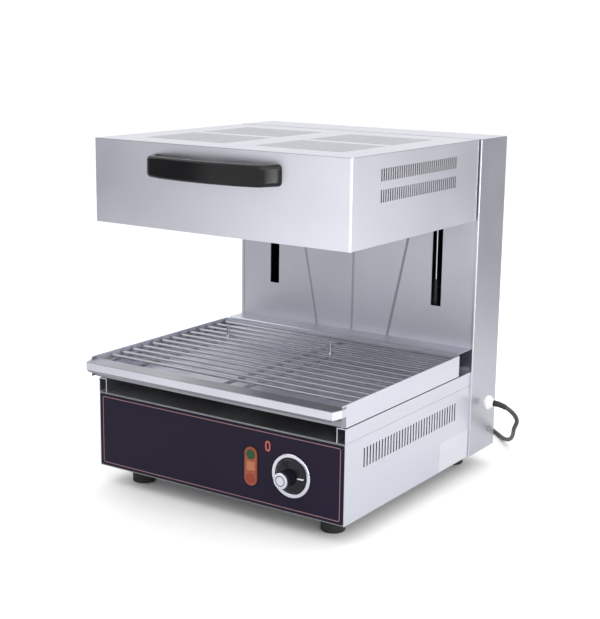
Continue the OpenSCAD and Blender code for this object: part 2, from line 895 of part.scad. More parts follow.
module element_hangers() {
  hanger_t = 2;
  legs = element_legs();
  color(steel_dark) for (x = [-hanger_x, hanger_x]) difference() {
    wall_x(x - hanger_t / 2, hanger_t) {
      rect(legs[0] - 9, element_z - 9, legs[len(legs) - 1] + 9, element_z + 9);
      for (y = [hood_mid_y - 2 * element_pitch, hood_mid_y, hood_mid_y + 2 * element_pitch])
        rect(y - 8, element_z, y + 8, chamber_z - sheet);
    }
    for (y = legs) bar_x(x - 5, y, element_z, element_d + 0.3, 10);
  }
}

module element_insulators() {
  color([0.93, 0.91, 0.86]) for (y = element_legs()) translate([liner_half, y, element_z]) rotate([0, 90, 0])
    tube(element_d + 7, element_d + 0.3, 8);
}

// ----------------------------------------------------------------- handle

handle_z = top_z - handle_drop - handle_h / 2;
handle_lean = 50;
handle_bow_r = 420;
handle_bend_r = 16;
handle_mid = handle_reach - handle_t / 2;
handle_foot_x = handle_w / 2 - handle_t / 2 / sin(handle_lean);
handle_screw_x = handle_foot_x - 2.6;
handle_screw_d = 3;
handle_screw_l = 6;
// Half angle of the bow, so that bend and leg end at the foot's place
handle_half_angle = bow_angle(11, 12);
handle_bow_x = handle_bow_r * sin(handle_half_angle);

// Where the leg of a bow with half angle a meets the hood
function bend_centre(a) = (handle_bow_r - handle_bend_r) * [sin(a), cos(a)] + [0, handle_mid - handle_bow_r];
function bend_end(a) = bend_centre(a) + handle_bend_r * [sin(handle_lean), cos(handle_lean)];
function foot_reach(a) = bend_end(a)[0] + bend_end(a)[1] / tan(handle_lean);
function bow_angle(a, n) = n == 0 ? a : bow_angle(a * handle_foot_x / foot_reach(a), n - 1);

module handle_section(inset) {
  round_rect(handle_t - 2 * inset, handle_h - 2 * inset, 3.4 - inset);
}

// One leg, cut flush at the hood and drilled for its screw
module handle_leg() {
  e = bend_end(handle_half_angle);
  leg = e[1] / sin(handle_lean) + 8;
  difference() {
    translate(e) rotate(-handle_lean) rotate([90, 0, 90]) linear_extrude(leg) handle_section(0);
    translate([0, -40, -handle_h]) cube([handle_w, 40, 2 * handle_h]);
    translate([handle_screw_x, -1, 0]) rotate([-90, 0, 0])
      cylinder(d = handle_screw_d + 0.1, h = handle_screw_l + 1.3);
  }
}

module handle() {
  a = handle_half_angle;
  overlap = 1.8;
  color(black) translate([0, front_y, handle_z]) mirror([0, 1, 0]) {
    translate([0, handle_mid - handle_bow_r]) rotate(90 - a) rotate_extrude(angle = 2 * a, $fn = 180)
      translate([handle_bow_r, 0]) handle_section(0);
    both_sides() {
      translate(bend_centre(a)) rotate(90 - handle_lean - overlap)
        rotate_extrude(angle = handle_lean - a + 2 * overlap, $fn = 96)
        translate([handle_bend_r, 0]) handle_section(0.03);
      handle_leg();
    }
  }
}

module handle_screws() {
  color(zinc) for (x = [-1, 1]) {
    bar_y(x * handle_screw_x, front_y - handle_screw_l, handle_z, handle_screw_d,
      handle_screw_l + sheet + eps);
    bar_y(x * handle_screw_x, front_y + sheet, handle_z, 3 * handle_screw_d, handle_screw_d);
  }
}

// ------------------------------------------------------------------- lift

module lift_arm() {
  x = arm_in_x;
  color(steel_inner) difference() {
    union() {
      box([x, hood_back_y, arm_low_z], [x + arm_t, carriage_y, arm_high_z]);
      box([x - flange_w, hood_back_y, arm_low_z], [x + eps, hood_back_y + flange_t, arm_high_z]);
      box([strut_x - 8, strut_y - 9, bracket_z], [x + eps, strut_y + 9, bracket_z + bracket_t]);
    }
    translate([strut_x, strut_y, bracket_z - 1]) cylinder(d = strut_rod_d + 2 * running, h = bracket_t + 2);
  }
}

module lift_arm_right() {
  lift_arm();
}

module lift_arm_left() {
  mirror([1, 0, 0]) lift_arm();
}

module carriage_plate() {
  plate_half = arm_in_x + arm_t;
  color(steel_inner) wall_y(carriage_y, carriage_t) {
    rect(-plate_half, arm_low_z, plate_half, arm_high_z);
    rect(-carriage_half, carriage_low_z, carriage_half, arm_low_z + 1);
  }
}

module bearing_blocks() {
  color([0.86, 0.86, 0.82]) both_sides() for (z = [carriage_low_z, block_up_z]) difference() {
    box([guide_x - block_w / 2, guide_y - block_d / 2, z],
      [guide_x + block_w / 2, guide_y + block_d / 2, z + block_h]);
    translate([guide_x, guide_y, z - 1]) cylinder(d = guide_d + 2 * running, h = block_h + 2);
  }
}

module strut_rods() {
  piston_h = 8;
  piston_z = strut_top_z - 4 - piston_h - 2;
  color(chrome) both_sides() translate([strut_x, strut_y, 0]) {
    translate([0, 0, piston_z]) cylinder(d = strut_d - 2 * strut_wall - 2 * running, h = piston_h);
    cylinder_from(piston_z + piston_h, bracket_z + bracket_t + nut_h + 1, strut_rod_d);
  }
}

module strut_nuts() {
  color(zinc) both_sides() for (z = [bracket_z - nut_h, bracket_z + bracket_t])
    translate([strut_x, strut_y, z]) difference() {
      cylinder(d = 2 * strut_rod_d, h = nut_h, $fn = 6);
      translate([0, 0, -1]) cylinder(d = strut_rod_d + 2 * running, h = nut_h + 2);
    }
}

// ---------------------------------------------------------- tray and grid

tray_front_y = front_y - tray_reach;
tray_back_y = column_y - tray_gap;
pan_front_y = tray_front_y + shelf_d;
corner_x = 5;
corner_y = 17;
wire_z = rim_z - grid_drop;
cross_z = wire_z - wire_d - flush;
grid_rest_z = cross_z - wire_d / 2 - flush;
last_wire_y = tray_back_y - sheet - 6;

// Outline of the tray seen from above, smaller by an inset
module tray_plan(inset) {
  polygon([
    [-tray_half + inset, tray_back_y - inset],
    [-tray_half + inset, tray_front_y + corner_y + inset * 0.5],
    [-tray_half + corner_x + inset * 0.5, tray_front_y + inset],
    [tray_half - corner_x - inset * 0.5, tray_front_y + inset],
    [tray_half - inset, tray_front_y + corner_y + inset * 0.5],
    [tray_half - inset, tray_back_y - inset]]);
}

// Lip round the front: upright above, leaning back at its lower edge
module tray_lip(inset) {
  bend_z = shelf_z - lip_h + lip_lean_h;
  level(bend_z, lip_h - lip_lean_h + (inset > 0 ? 1 : 0)) tray_plan(inset);
  hull() {
    level(bend_z, eps) tray_plan(inset);
    level(bend_z - lip_lean_h - (inset > 0 ? eps : 0), eps) tray_plan(inset + lip_lean_h * 0.7);
  }
}

// Rests for the grid along the front and rear walls of the pan
module grid_rests() {
  for (y = [pan_front_y + sheet - eps, tray_back_y - sheet - rest_w + eps])
    box([-tray_half + sheet, y, grid_rest_z - sheet], [tray_half - sheet, y + rest_w, grid_rest_z]);
}

module drip_tray() {
  side_y = tray_front_y + corner_y;
  color(steel) {
    difference() {
      box([-tray_half, pan_front_y, tray_z], [tray_half, tray_back_y, rim_z]);
      box([-tray_half + sheet, pan_front_y + sheet, tray_z + sheet],
        [tray_half - sheet, tray_back_y - sheet, rim_z + 1]);
      box([-tray_half + sheet, pan_front_y - 1, shelf_z], [tray_half - sheet, pan_front_y + 5, rim_z + 1]);
    }
    grid_rests();
    for (x = [-tray_half, tray_half - sheet]) wall_x(x, sheet)
      rect(side_y, tray_z + 2, pan_front_y + 1, rim_z);
    intersection() {
      level(shelf_z - sheet, sheet) tray_plan(0);
      box([-tray_half, tray_front_y - 1, tray_z], [tray_half, pan_front_y + sheet, rim_z]);
    }
    difference() {
      tray_lip(0);
      tray_lip(sheet);
      box([-tray_half - 1, side_y + 0.5, 0], [tray_half + 1, column_y, top_z]);
    }
  }
}

// Wires run along X on cross wires, which lie on the tray's front and rear rests
module wire_grid() {
  wire_r = wire_d / 2;
  grid_half = tray_half - sheet - 3;
  first_y = last_wire_y - (wire_count - 1) * wire_pitch;
  rest_y = pan_front_y + sheet + 1;
  cross_x = [-grid_half + 6, 6, grid_half - 6];
  stop_y = last_wire_y - 3.25 * wire_pitch;
  bend = 8;
  color(chrome) {
    for (i = [0 : wire_count - 1]) bar_x(-grid_half, first_y + i * wire_pitch, wire_z, wire_d, 2 * grid_half);
    for (x = cross_x) bar_y(x, rest_y, cross_z, wire_d, last_wire_y + 5 - rest_y);
    for (x = [-half_w + stop_left, half_w - stop_right]) {
      bar_y(x, rest_y, cross_z, wire_d, stop_y - bend - rest_y);
      translate([x, stop_y - bend, cross_z + bend]) rotate([0, 90, 0]) rotate_extrude(angle = 90)
        translate([bend, 0]) circle(wire_r);
      translate([x, stop_y, cross_z + bend]) cylinder(r = wire_r, h = stop_h - bend);
    }
  }
}

// -------------------------------------------------------------- mains lead

module cable_gland() {
  neck_d = cord_d + 5;
  color([0.93, 0.93, 0.92]) difference() {
    union() {
      bar_x(column_half, gland_y, gland_z, gland_d, gland_reach * 0.35);
      translate([column_half + gland_reach * 0.35 - eps, gland_y, gland_z]) rotate([0, 90, 0])
        cylinder(d1 = gland_d - 2, d2 = neck_d, h = gland_reach * 0.65 + eps);
      bar_x(column_in - 9, gland_y, gland_z, gland_thread_d, 9 + sheet + eps);
    }
    bar_x(column_in - 20, gland_y, gland_z, cord_d - 1, 20 + sheet);
  }
}

// Ring of points round a place, square to a heading
function ring(p, heading, r, sides) =
  let (h = heading / norm(heading), s = cross(h, [0, 0, 1]), side = s / norm(s), up = cross(side, h))
  [for (k = [0 : sides - 1]) let (t = 360 * (k + 0.5) / sides) p + r * (cos(t) * side + sin(t) * up)];

// Heading of a path at point i, with given headings at its ends
function heading(path, i, first, last) =
  i == 0 ? first : i == len(path) - 1 ? last : path[i + 1] - path[i - 1];

module swept_tube(path, r, sides, first, last) {
  n = len(path);
  points = [for (i = [0 : n - 1]) each ring(path[i], heading(path, i, first, last), r, sides)];
  walls = [for (i = [0 : n - 2], k = [0 : sides - 1]) let (a = i * sides, b = a + sides, m = (k + 1) % sides)
    each [[a + k, b + m, a + m], [a + k, b + k, b + m]]];
  start = [for (k = [1 : sides - 2]) [0, k, k + 1]];
  end = [for (k = [1 : sides - 2]) let (a = (n - 1) * sides) [a, a + k + 1, a + k]];
  polyhedron(points = points, faces = concat(walls, start, end));
}

function direction(a) = [cos(a), sin(a), 0];
free_path = [for (p = route) [mouth_x + p[0], gland_y + p[1], p[2]]];
coil_start = free_path[len(free_path) - 1];
coil_angle = coil_heading - 90;
coil_centre = coil_start - coil_r * direction(coil_angle);

// The coil spirals in, climbs a layer in the half turn where it reverses, and spirals out
function coil_radius(u) = coil_r - coil_pitch * min(u, coil_turns - u);
function coil_climb(u) = max(0, min(1, (u - coil_turns / 2 + 0.25) / 0.5));
function coil_point(u) = coil_centre + coil_radius(u) * direction(coil_angle + 360 * u)
  + [0, 0, coil_rise * (3 * pow(coil_climb(u), 2) - 2 * pow(coil_climb(u), 3))];
coil_end_heading = direction(coil_heading + 360 * coil_turns);
coil_path = concat(
  [for (i = [0 : coil_turns * coil_steps]) coil_point(i / coil_steps)],
  [for (s = [tail_l / 2, tail_l]) coil_point(coil_turns) + s * coil_end_heading]);
plug_start = coil_path[len(coil_path) - 1];
plug_half_h = plug_start[2];

function path_length(path, i = 1) = i >= len(path) ? 0 : norm(path[i] - path[i - 1]) + path_length(path, i + 1);
function self_gap(path, skip) = min([
  for (i = [0 : len(path) - 1], j = [i + skip : 1 : len(path) - 1]) norm(path[i] - path[j])]) - cord_d;
echo(cord_length = path_length(free_path) + path_length(coil_path));
echo(coil_self_gap = self_gap(coil_path, 12));

module power_cord() {
  color([0.12, 0.12, 0.13]) swept_tube(free_path, cord_r, 8, [1, 0, 0], direction(coil_heading));
}

module cord_coil() {
  color([0.12, 0.12, 0.13]) swept_tube(coil_path, cord_r, 6, direction(coil_heading), coil_end_heading);
}

// Moves a shape that points along +X to the end of the coil
module at_plug() {
  translate(plug_start) rotate(coil_heading + 360 * coil_turns) children();
}

module plug_body() {
  color([0.12, 0.12, 0.13]) at_plug() {
    rotate([0, 90, 0]) cylinder(d1 = cord_d + 3, d2 = boot_d, h = boot_l + eps);
    translate([boot_l, 0, 0]) rotate([90, 0, 90]) linear_extrude(plug_l)
      round_rect(plug_w, 2 * plug_half_h, 8);
  }
}

module plug_pins() {
  color(chrome) at_plug() for (y = [-1, 1]) {
    translate([boot_l + plug_l, y * pin_pitch / 2, 0]) rotate([0, 90, 0])
      cylinder(d = pin_d, h = pin_l - pin_d / 2);
    translate([boot_l + plug_l + pin_l - pin_d / 2, y * pin_pitch / 2, 0]) sphere(d = pin_d);
  }
}

base_floor();
base_side_left();
base_side_right();
inner_deck();
control_panel();
panel_film();
tray_rail_left();
tray_rail_right();
tray_runners();
feet();
foot_screws();
lamp_frame();
lamp_green();
lamp_orange();
lamp_marker();
dial_ring();
regulator();
regulator_nut();
regulator_shaft();
knob();
knob_cap();
terminal_block();
column_side_left();
column_side_right();
column_face();
rear_ledge();
column_top();
column_back();
lower_crossbar();
upper_crossbar();
guide_rods();
rod_sockets();
stop_sleeves();
stop_rings();
strut_cylinders();
column_screws();
gland_nut();
hood_shell();
hood_top();
hood_rear();
hood_liner();
insulation();
heating_elements();
element_hangers();
element_insulators();
handle();
handle_screws();
lift_arm_left();
lift_arm_right();
carriage_plate();
bearing_blocks();
strut_rods();
strut_nuts();
drip_tray();
wire_grid();
cable_gland();
power_cord();
cord_coil();
plug_body();
plug_pins();
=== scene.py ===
"""Looks of the countertop lift grill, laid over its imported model."""

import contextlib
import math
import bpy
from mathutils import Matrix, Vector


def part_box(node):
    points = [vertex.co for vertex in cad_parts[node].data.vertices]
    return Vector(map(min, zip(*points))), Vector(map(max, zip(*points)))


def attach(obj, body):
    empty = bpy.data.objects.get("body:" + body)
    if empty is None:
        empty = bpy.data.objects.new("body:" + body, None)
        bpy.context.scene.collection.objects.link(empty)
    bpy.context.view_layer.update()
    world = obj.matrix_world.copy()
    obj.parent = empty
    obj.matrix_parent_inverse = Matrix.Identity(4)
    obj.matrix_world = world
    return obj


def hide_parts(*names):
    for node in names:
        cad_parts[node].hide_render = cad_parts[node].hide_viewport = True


bl_info = {
    "name": "Lift grill looks",
    "version": (1, 0, 0),
    "blender": (4, 5, 0),
    "location": "3D View > Sidebar > Lift grill",
    "description": "Finishes, mains lead, printed panel and studio for the lift grill",
    "category": "Object",
}

import bmesh
import bpy
from bpy.props import FloatProperty, FloatVectorProperty, IntProperty, PointerProperty
from mathutils import Matrix, Vector

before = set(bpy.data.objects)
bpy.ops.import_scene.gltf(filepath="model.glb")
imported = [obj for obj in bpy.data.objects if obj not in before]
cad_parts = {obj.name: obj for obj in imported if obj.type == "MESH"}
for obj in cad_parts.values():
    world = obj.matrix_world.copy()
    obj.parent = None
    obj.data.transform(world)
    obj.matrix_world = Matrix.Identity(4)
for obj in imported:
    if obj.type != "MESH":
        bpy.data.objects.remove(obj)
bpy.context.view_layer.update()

MM = 0.001

# The photograph's camera: place and target in metres, lens and sensor in millimetres.
CAMERA_PLACE = (1.119, -1.6645, 0.711)
CAMERA_TARGET = (-0.1032, 0.1635, 0.2293)
CAMERA_LENS, CAMERA_SENSOR, CAMERA_ROLL = 76.18, 36.0, 0.8

# The route of the mains lead from the gland's mouth: along X, along Y, height above the table.
# It and the coil are in millimetres, headings in degrees.
LEAD_ROUTE = [
    (0, 0, 108), (8, 0.5, 107.5), (15.5, 2, 105.5), (22.5, 5, 101.5), (28, 9, 96),
    (31.5, 14, 89.5), (32.5, 20, 82), (30.5, 26, 74.5), (26, 32, 67), (20.5, 39.5, 59),
    (15.5, 48.5, 50.5), (10, 59.5, 42), (3.5, 71.5, 34), (-4, 84.5, 26), (-13, 98, 18.5),
    (-23.5, 112.5, 12), (-35.5, 127.5, 7), (-49.5, 143, 4.2), (-65, 158.5, 3.6),
    (-81.5, 173, 3.6), (-97, 187, 3.6), (-112, 201, 3.6),
]
GLAND_MOUTH = (240, 223.5)
COIL_HEADING = 137
COIL_TURNS = 5 + (270 - COIL_HEADING) / 360
COIL_RADIUS, COIL_PITCH, COIL_RISE = 53, 7.6, 8.0
COIL_STEPS = 24
TAIL = 32

# The strap round the coil, in millimetres: radius and height of its middle on the coil, half its
# outside, corner radius, thickness, half its width, and its place round the coil in degrees.
TIE_MIDDLE = (44.0, 8.12)
TIE_HALF = (12.6, 8.1)
TIE_CORNER, TIE_THICK, TIE_HALF_WIDTH, TIE_ANGLE = 5.0, 1.0, 5.5, 110

# Sections of the plug behind its ribbed boot: way along, half width and half height in
# millimetres, and squareness.
PLUG_SECTIONS = [
    (16.2, 8.0, 7.8, 2.2), (18.0, 12.5, 9.6, 2.6), (22.0, 16.4, 10.8, 3.2), (27.0, 17.4, 11.1, 3.6),
    (33.0, 16.6, 10.9, 3.6), (39.0, 17.0, 11.0, 3.6), (46.0, 18.4, 11.3, 3.8), (55.0, 18.9, 11.5, 4.0),
    (58.6, 18.8, 11.4, 4.0), (59.7, 18.2, 10.9, 4.0), (60.0, 17.2, 10.0, 4.0),
]

# The handle's bar in millimetres: thickness, radii of its bow, of its bends, of its inner edges and
# of its outer edges at the ends, and how far its legs stand inside the solid's ends.
BAR_THICK, BOW_RADIUS, BEND_RADIUS, INNER_EDGE, END_EDGE, LEG_INSET = 9.0, 420.0, 11.0, 2.0, 6.9, 1.5
# Where the ends get full, as shares of half the width.
FULL_FROM, FULL_OVER = 0.62, 0.30

# Printed marks, in metres: how far they stand before the film, their thickness, the line's corner
# radius, and the zero's place, shares of its height and squareness.
PRINT_PROUD, PRINT_THICK, LINE_CORNER = 0.00006, 0.00005, 0.003
ZERO_CENTRE = (0.0953, 0.1222)
ZERO_OUTLINES = ((0.29, 0.5), (0.14, 0.34))
ZERO_SQUARENESS = 2.7

# The dial's pointer from the dial's middle and back, and the ring on its cap: radius, depth. Metres.
POINTER_FROM, POINTER_TO, POINTER_HALF, POINTER_BEVEL = 0.0135, 0.0232, 0.0009, 0.0003
POINTER_BACK, POINTER_FRONT = 0.0071, 0.0030
CAP_RING = ((0.0078, 0.00012), (0.0078, -0.00006), (0.0066, -0.00006), (0.0066, 0.00012))

# The grid's wires in metres: pitch, first one from the tray's back, depth of their middles below
# its rim, the beads' depth below these, the outer cross wires from the ends and the middle one's X.
WIRE_PITCH, WIRE_FIRST, WIRE_DEPTH, BEAD_DEPTH = 0.0242, 0.0072, 0.007, 0.0025
END_WIRE, MIDDLE_WIRE = 0.006, 0.006
# X of the cross wires under the plate stops, and the last wire behind them, counted from the back.
STOP_WIRES, STOPS_AFTER = (-0.159, 0.042), 3
# The back cover's screws: X, heights and size of the recess, in metres; the recess is a black cross on the
# head, painted shade.
SCREW_X, SCREW_Z, RECESS_SIZE = 0.2128, (0.055, 0.285, 0.515), 0.0042

# The rating plate on the right side, in metres: along Y and Z, sunk, proud and bevelled.
PLATE_Y, PLATE_Z = (0.0675, 0.1615), (0.0305, 0.0765)
PLATE_SUNK, PLATE_PROUD, PLATE_BEVEL = 0.00005, 0.00022, 0.00008

# The tray's lip: depths below the rim at which its bands change, and how much painted shade darkens each.
LIP_LOW, LIP_SHELF, LIP_RIM = 0.0165, 0.0055, 0.002
LIP_PAINTED_SHADE = (0.62, 0.04, 0.6)
# The column's creases: X at the foot and at the head, and depth of the shade.
CREASES = ((0.0, 0.0, 0.42), (0.07, 0.128, 0.6), (-0.07, -0.128, 0.55))
CREASE_FOOT, CREASE_HEAD = 0.006, 0.0388
# Painted shade: the sheet loses this share of its tone at the column's left edge, and none from this X on.
LEFT_PAINTED_SHADE, LEFT_PAINTED_SHADE_END = 0.36, 0.08

# The studio as the sheet mirrors it: azimuth of a sector, half its width and half its core, in
# degrees, and the metres over which the floor takes the sectors' and the near shade.
DARK_SECTORS, BRIGHT_SECTOR = ((-148, 30, 15), (77, 26, 13)), (-108, 24, 10)
SECTOR_DEPTH, PLAIN_TONE, BRIGHT_GAIN, NEAR_DEPTH = 0.84, 0.95, 0.05, 0.28
SECTORS_OVER, NEAR_OVER = (0.7, 2.0), (1.2, 3.2)
UNLIT = (0.0, 0.0, 0.01, 1)
FLOOR_HALF, FLOOR_Z = 60, -0.0002
# Area lights: name, place, target, width and height.
LIGHTS = (
    ("key_light", (-1.6, -1.2, 2.0), (0.0, 0.0, 0.3), 2.4, 2.0),
    ("side_light", (1.9, -0.9, 1.4), (0.2, 0.0, 0.2), 2.2, 2.0),
    ("handle_strip", (2.1, 0.0, 0.34), (0.1, -0.25, 0.48), 0.3, 0.66),
    ("top_light", (-0.3, 0.6, 2.6), (-0.2, 0.4, 0.0), 2.4, 2.4),
)
STRIP_POWER, TOP_POWER = 6.5, 14.0


# ---- Settings


COLOUR = {"subtype": "COLOR", "size": 3, "min": 0, "max": 1}
SHARE = {"subtype": "FACTOR", "min": 0, "max": 1}
LENGTH = {"subtype": "DISTANCE", "unit": "LENGTH"}


class SteelSettings(bpy.types.PropertyGroup):
    sheet_colour: FloatVectorProperty(
        name="Sheet colour", description="Colour of the stainless sheet",
        default=(0.86, 0.875, 0.96), **COLOUR)
    sheet_roughness: FloatProperty(
        name="Sheet roughness", description="How dull the stainless sheet is", default=0.29, **SHARE)
    grain: FloatProperty(name="Grain", description="Strength of the brushed grain", default=0.02, **SHARE)
    smudge: FloatProperty(name="Smudges", description="Strength of the handling marks", default=0.07, **SHARE)


class LeadSettings(bpy.types.PropertyGroup):
    diameter: FloatProperty(
        name="Diameter", description="Diameter of the mains lead",
        min=0.005, max=0.01, default=0.007, **LENGTH)
    relief_length: FloatProperty(
        name="Strain relief", description="Length of the tapered strain relief",
        min=0.02, max=0.06, default=0.022, **LENGTH)
    relief_diameter: FloatProperty(
        name="Strain relief width", description="Diameter of the strain relief at the gland",
        min=0.008, max=0.014, default=0.0105, **LENGTH)


class HandleSettings(bpy.types.PropertyGroup):
    edge_radius: FloatProperty(
        name="Edge radius", description="Rounding of the bar's front edges",
        min=0.002, max=0.0042, default=0.0038, **LENGTH)
    lean_degrees: FloatProperty(
        name="Leg angle", description="Angle between the hood's front and the handle's legs, in degrees",
        min=50, max=80, default=64)


class PanelSettings(bpy.types.PropertyGroup):
    line_inset: FloatProperty(
        name="Line inset", description="Distance of the printed line from the film's edge",
        min=0.002, max=0.02, default=0.0055, **LENGTH)
    line_width: FloatProperty(
        name="Line width", description="Width of the printed line",
        min=0.0004, max=0.003, default=0.0011, **LENGTH)
    line_colour: FloatVectorProperty(
        name="Line colour", description="Colour of the printed line", default=(0.27, 0.16, 0.165), **COLOUR)
    zero_height: FloatProperty(
        name="Zero height", description="Height of the printed zero",
        min=0.006, max=0.03, default=0.0155, **LENGTH)
    zero_colour: FloatVectorProperty(
        name="Zero colour", description="Colour of the printed zero", default=(0.48, 0.115, 0.085), **COLOUR)


class GridSettings(bpy.types.PropertyGroup):
    bead_radius: FloatProperty(
        name="Weld radius", description="Radius of the weld beads on the wire grid",
        min=0.001, max=0.005, default=0.0027, **LENGTH)
    beads_across: IntProperty(
        name="Wires", description="Number of wires across the tray", min=5, max=30, default=13)


class StudioSettings(bpy.types.PropertyGroup):
    floor_colour: FloatVectorProperty(
        name="Floor colour", description="Colour of the floor", default=(0.98, 0.98, 0.98), **COLOUR)
    key_power: FloatProperty(
        name="Key light", description="Power of the large front light", min=0, max=500, default=8)
    fill_power: FloatProperty(
        name="Fill light", description="Power of the side light", min=0, max=500, default=22)
    sky: FloatProperty(
        name="Surroundings", description="Brightness of the surroundings", min=0, max=5, default=1.08)


# ---- Shader nodes


def new_group(name, inputs, outputs):
    """A shader node group and its two ends. Its inputs are vectors, colours or numbers, as their
    default values are; its outputs are numbers, apart from the colour."""
    tree = bpy.data.node_groups.new(name, "ShaderNodeTree")
    for label, value in inputs.items():
        kind = "Vector" if value is None else "Color" if isinstance(value, tuple) else "Float"
        made = tree.interface.new_socket(label, in_out="INPUT", socket_type="NodeSocket" + kind)
        if value is not None:
            made.default_value = value
    for label in outputs:
        kind = "Color" if label == "Colour" else "Float"
        tree.interface.new_socket(label, in_out="OUTPUT", socket_type="NodeSocket" + kind)
    return tree, tree.nodes.new("NodeGroupInput").outputs, tree.nodes.new("NodeGroupOutput").inputs


def feed(tree, socket, value):
    """Links an input socket, or sets its value."""
    if isinstance(value, bpy.types.NodeSocket):
        tree.links.new(value, socket)
    else:
        socket.default_value = value


def math_node(tree, operation, a, b=None, clamp=False):
    node = tree.nodes.new("ShaderNodeMath")
    node.operation, node.use_clamp = operation, clamp
    feed(tree, node.inputs[0], a)
    if b is not None:
        feed(tree, node.inputs[1], b)
    return node.outputs[0]


def times(tree, a, b):
    return math_node(tree, "MULTIPLY", a, b)


def less(tree, a, b, clamp=False):
    return math_node(tree, "SUBTRACT", a, b, clamp)


def vector_node(tree, operation, a, b=None):
    node = tree.nodes.new("ShaderNodeVectorMath")
    node.operation = operation
    feed(tree, node.inputs[0], a)
    if b is not None:
        feed(tree, node.inputs[1], b)
    return node.outputs


def axes_of(tree, vector):
    parts = tree.nodes.new("ShaderNodeSeparateXYZ")
    feed(tree, parts.inputs[0], vector)
    return parts.outputs


def noise_node(tree, vector, scale, detail=2.0):
    node = tree.nodes.new("ShaderNodeTexNoise")
    node.inputs["Detail"].default_value = detail
    feed(tree, node.inputs["Scale"], scale)
    feed(tree, node.inputs["Vector"], vector)
    return node.outputs["Fac"]


def smooth_step(tree, value, low, high):
    node = tree.nodes.new("ShaderNodeMapRange")
    node.interpolation_type = "SMOOTHSTEP"
    node.inputs["From Min"].default_value = low
    node.inputs["From Max"].default_value = high
    feed(tree, node.inputs["Value"], value)
    return node.outputs[0]


def colour_mix(tree, factor, a, b):
    node = tree.nodes.new("ShaderNodeMix")
    node.data_type = "RGBA"
    for index, value in ((0, factor), (6, a), (7, b)):
        feed(tree, node.inputs[index], value)
    return node.outputs[2]


def group_node(tree, group, values):
    """A use of a shared group, with its inputs by name."""
    node = tree.nodes.new("ShaderNodeGroup")
    node.node_tree = group
    for label, value in values.items():
        feed(tree, node.inputs[label], value)
    return node.outputs


def studio_tone(tree, vector, away=None):
    """Brightness of the studio by direction. It looks and lights white all round; the sheet mirrors
    a darker front left and rear right and a brighter front, as the photograph's does."""
    level = vector_node(tree, "NORMALIZE", vector)[0]
    sectors = []
    for azimuth, half, core in (*DARK_SECTORS, BRIGHT_SECTOR):
        turn = math.radians(azimuth)
        towards = vector_node(tree, "DOT_PRODUCT", level, (math.cos(turn), math.sin(turn), 0))
        sectors.append(smooth_step(tree, towards["Value"], math.cos(math.radians(half)),
                                   math.cos(math.radians(core))))
    shade = times(tree, math_node(tree, "MAXIMUM", sectors[0], sectors[1]), SECTOR_DEPTH)
    if away is not None:
        shade = times(tree, shade, smooth_step(tree, away, *SECTORS_OVER))
    tone = math_node(tree, "ADD", PLAIN_TONE, times(tree, sectors[2], BRIGHT_GAIN))
    tone = times(tree, tone, less(tree, 1.0, shade))
    if away is not None:
        near = times(tree, less(tree, 1.0, smooth_step(tree, away, *NEAR_OVER)), NEAR_DEPTH)
        tone = times(tree, tone, less(tree, 1.0, near))
    plain = less(tree, 1.0, tree.nodes.new("ShaderNodeLightPath").outputs["Is Glossy Ray"])
    return math_node(tree, "MAXIMUM", tone, plain)


def make_brushed_group():
    """Fine lines along the sheet: level on upright faces, along X on level ones."""
    tree, start, end = new_group(
        "Brushed grain", {"Vector": None, "Normal": None, "Length": 5.0, "Fineness": 300.0}, ["Grain"])
    steepness = math_node(tree, "ABSOLUTE", axes_of(tree, start["Normal"])[2])
    choose = tree.nodes.new("ShaderNodeMix")
    choose.data_type = "VECTOR"
    feed(tree, choose.inputs[0], math_node(tree, "GREATER_THAN", steepness, 0.7))
    for index, labels in ((4, ("Length", "Length", "Fineness")), (5, ("Length", "Fineness", "Fineness"))):
        scale = tree.nodes.new("ShaderNodeCombineXYZ")
        for socket, label in zip(scale.inputs, labels):
            feed(tree, socket, start[label])
        feed(tree, choose.inputs[index], vector_node(tree, "MULTIPLY", start["Vector"], scale.outputs[0])[0])
    feed(tree, end["Grain"], noise_node(tree, choose.outputs[1], 1.0, 3.0))
    return tree


def make_smudge_group():
    """Broad soft handling marks."""
    tree, start, end = new_group("Handling marks", {"Vector": None, "Scale": 9.0}, ["Marks"])
    broad = noise_node(tree, start["Vector"], start["Scale"], 1.5)
    feed(tree, end["Marks"], smooth_step(tree, broad, 0.25, 0.8))
    return tree


SKIN_OUTPUTS = ["Colour", "Roughness", "Height"]


def make_metal_group(grain_tree, smudge_tree):
    """Sheet metal: colour, roughness and height from the grain and the handling marks."""
    tree, start, end = new_group(
        "Sheet metal", {"Vector": None, "Normal": None, "Colour": (0.7, 0.7, 0.7, 1), "Roughness": 0.3,
                        "Grain": 0.2, "Marks": 0.1, "Fineness": 300.0}, SKIN_OUTPUTS)
    grain = group_node(tree, grain_tree, {name: start[name] for name in ("Vector", "Normal", "Fineness")})[0]
    marks = group_node(tree, smudge_tree, {"Vector": start["Vector"]})[0]
    swing = times(tree, less(tree, grain, 0.5), start["Grain"])
    haze = times(tree, marks, start["Marks"])
    rough = math_node(tree, "ADD", start["Roughness"], swing)
    feed(tree, end["Roughness"], math_node(tree, "ADD", rough, haze, clamp=True))
    hazy = colour_mix(tree, times(tree, haze, 0.5), start["Colour"], (0.30, 0.31, 0.33, 1))
    feed(tree, end["Colour"], hazy)
    feed(tree, end["Height"], grain)
    return tree


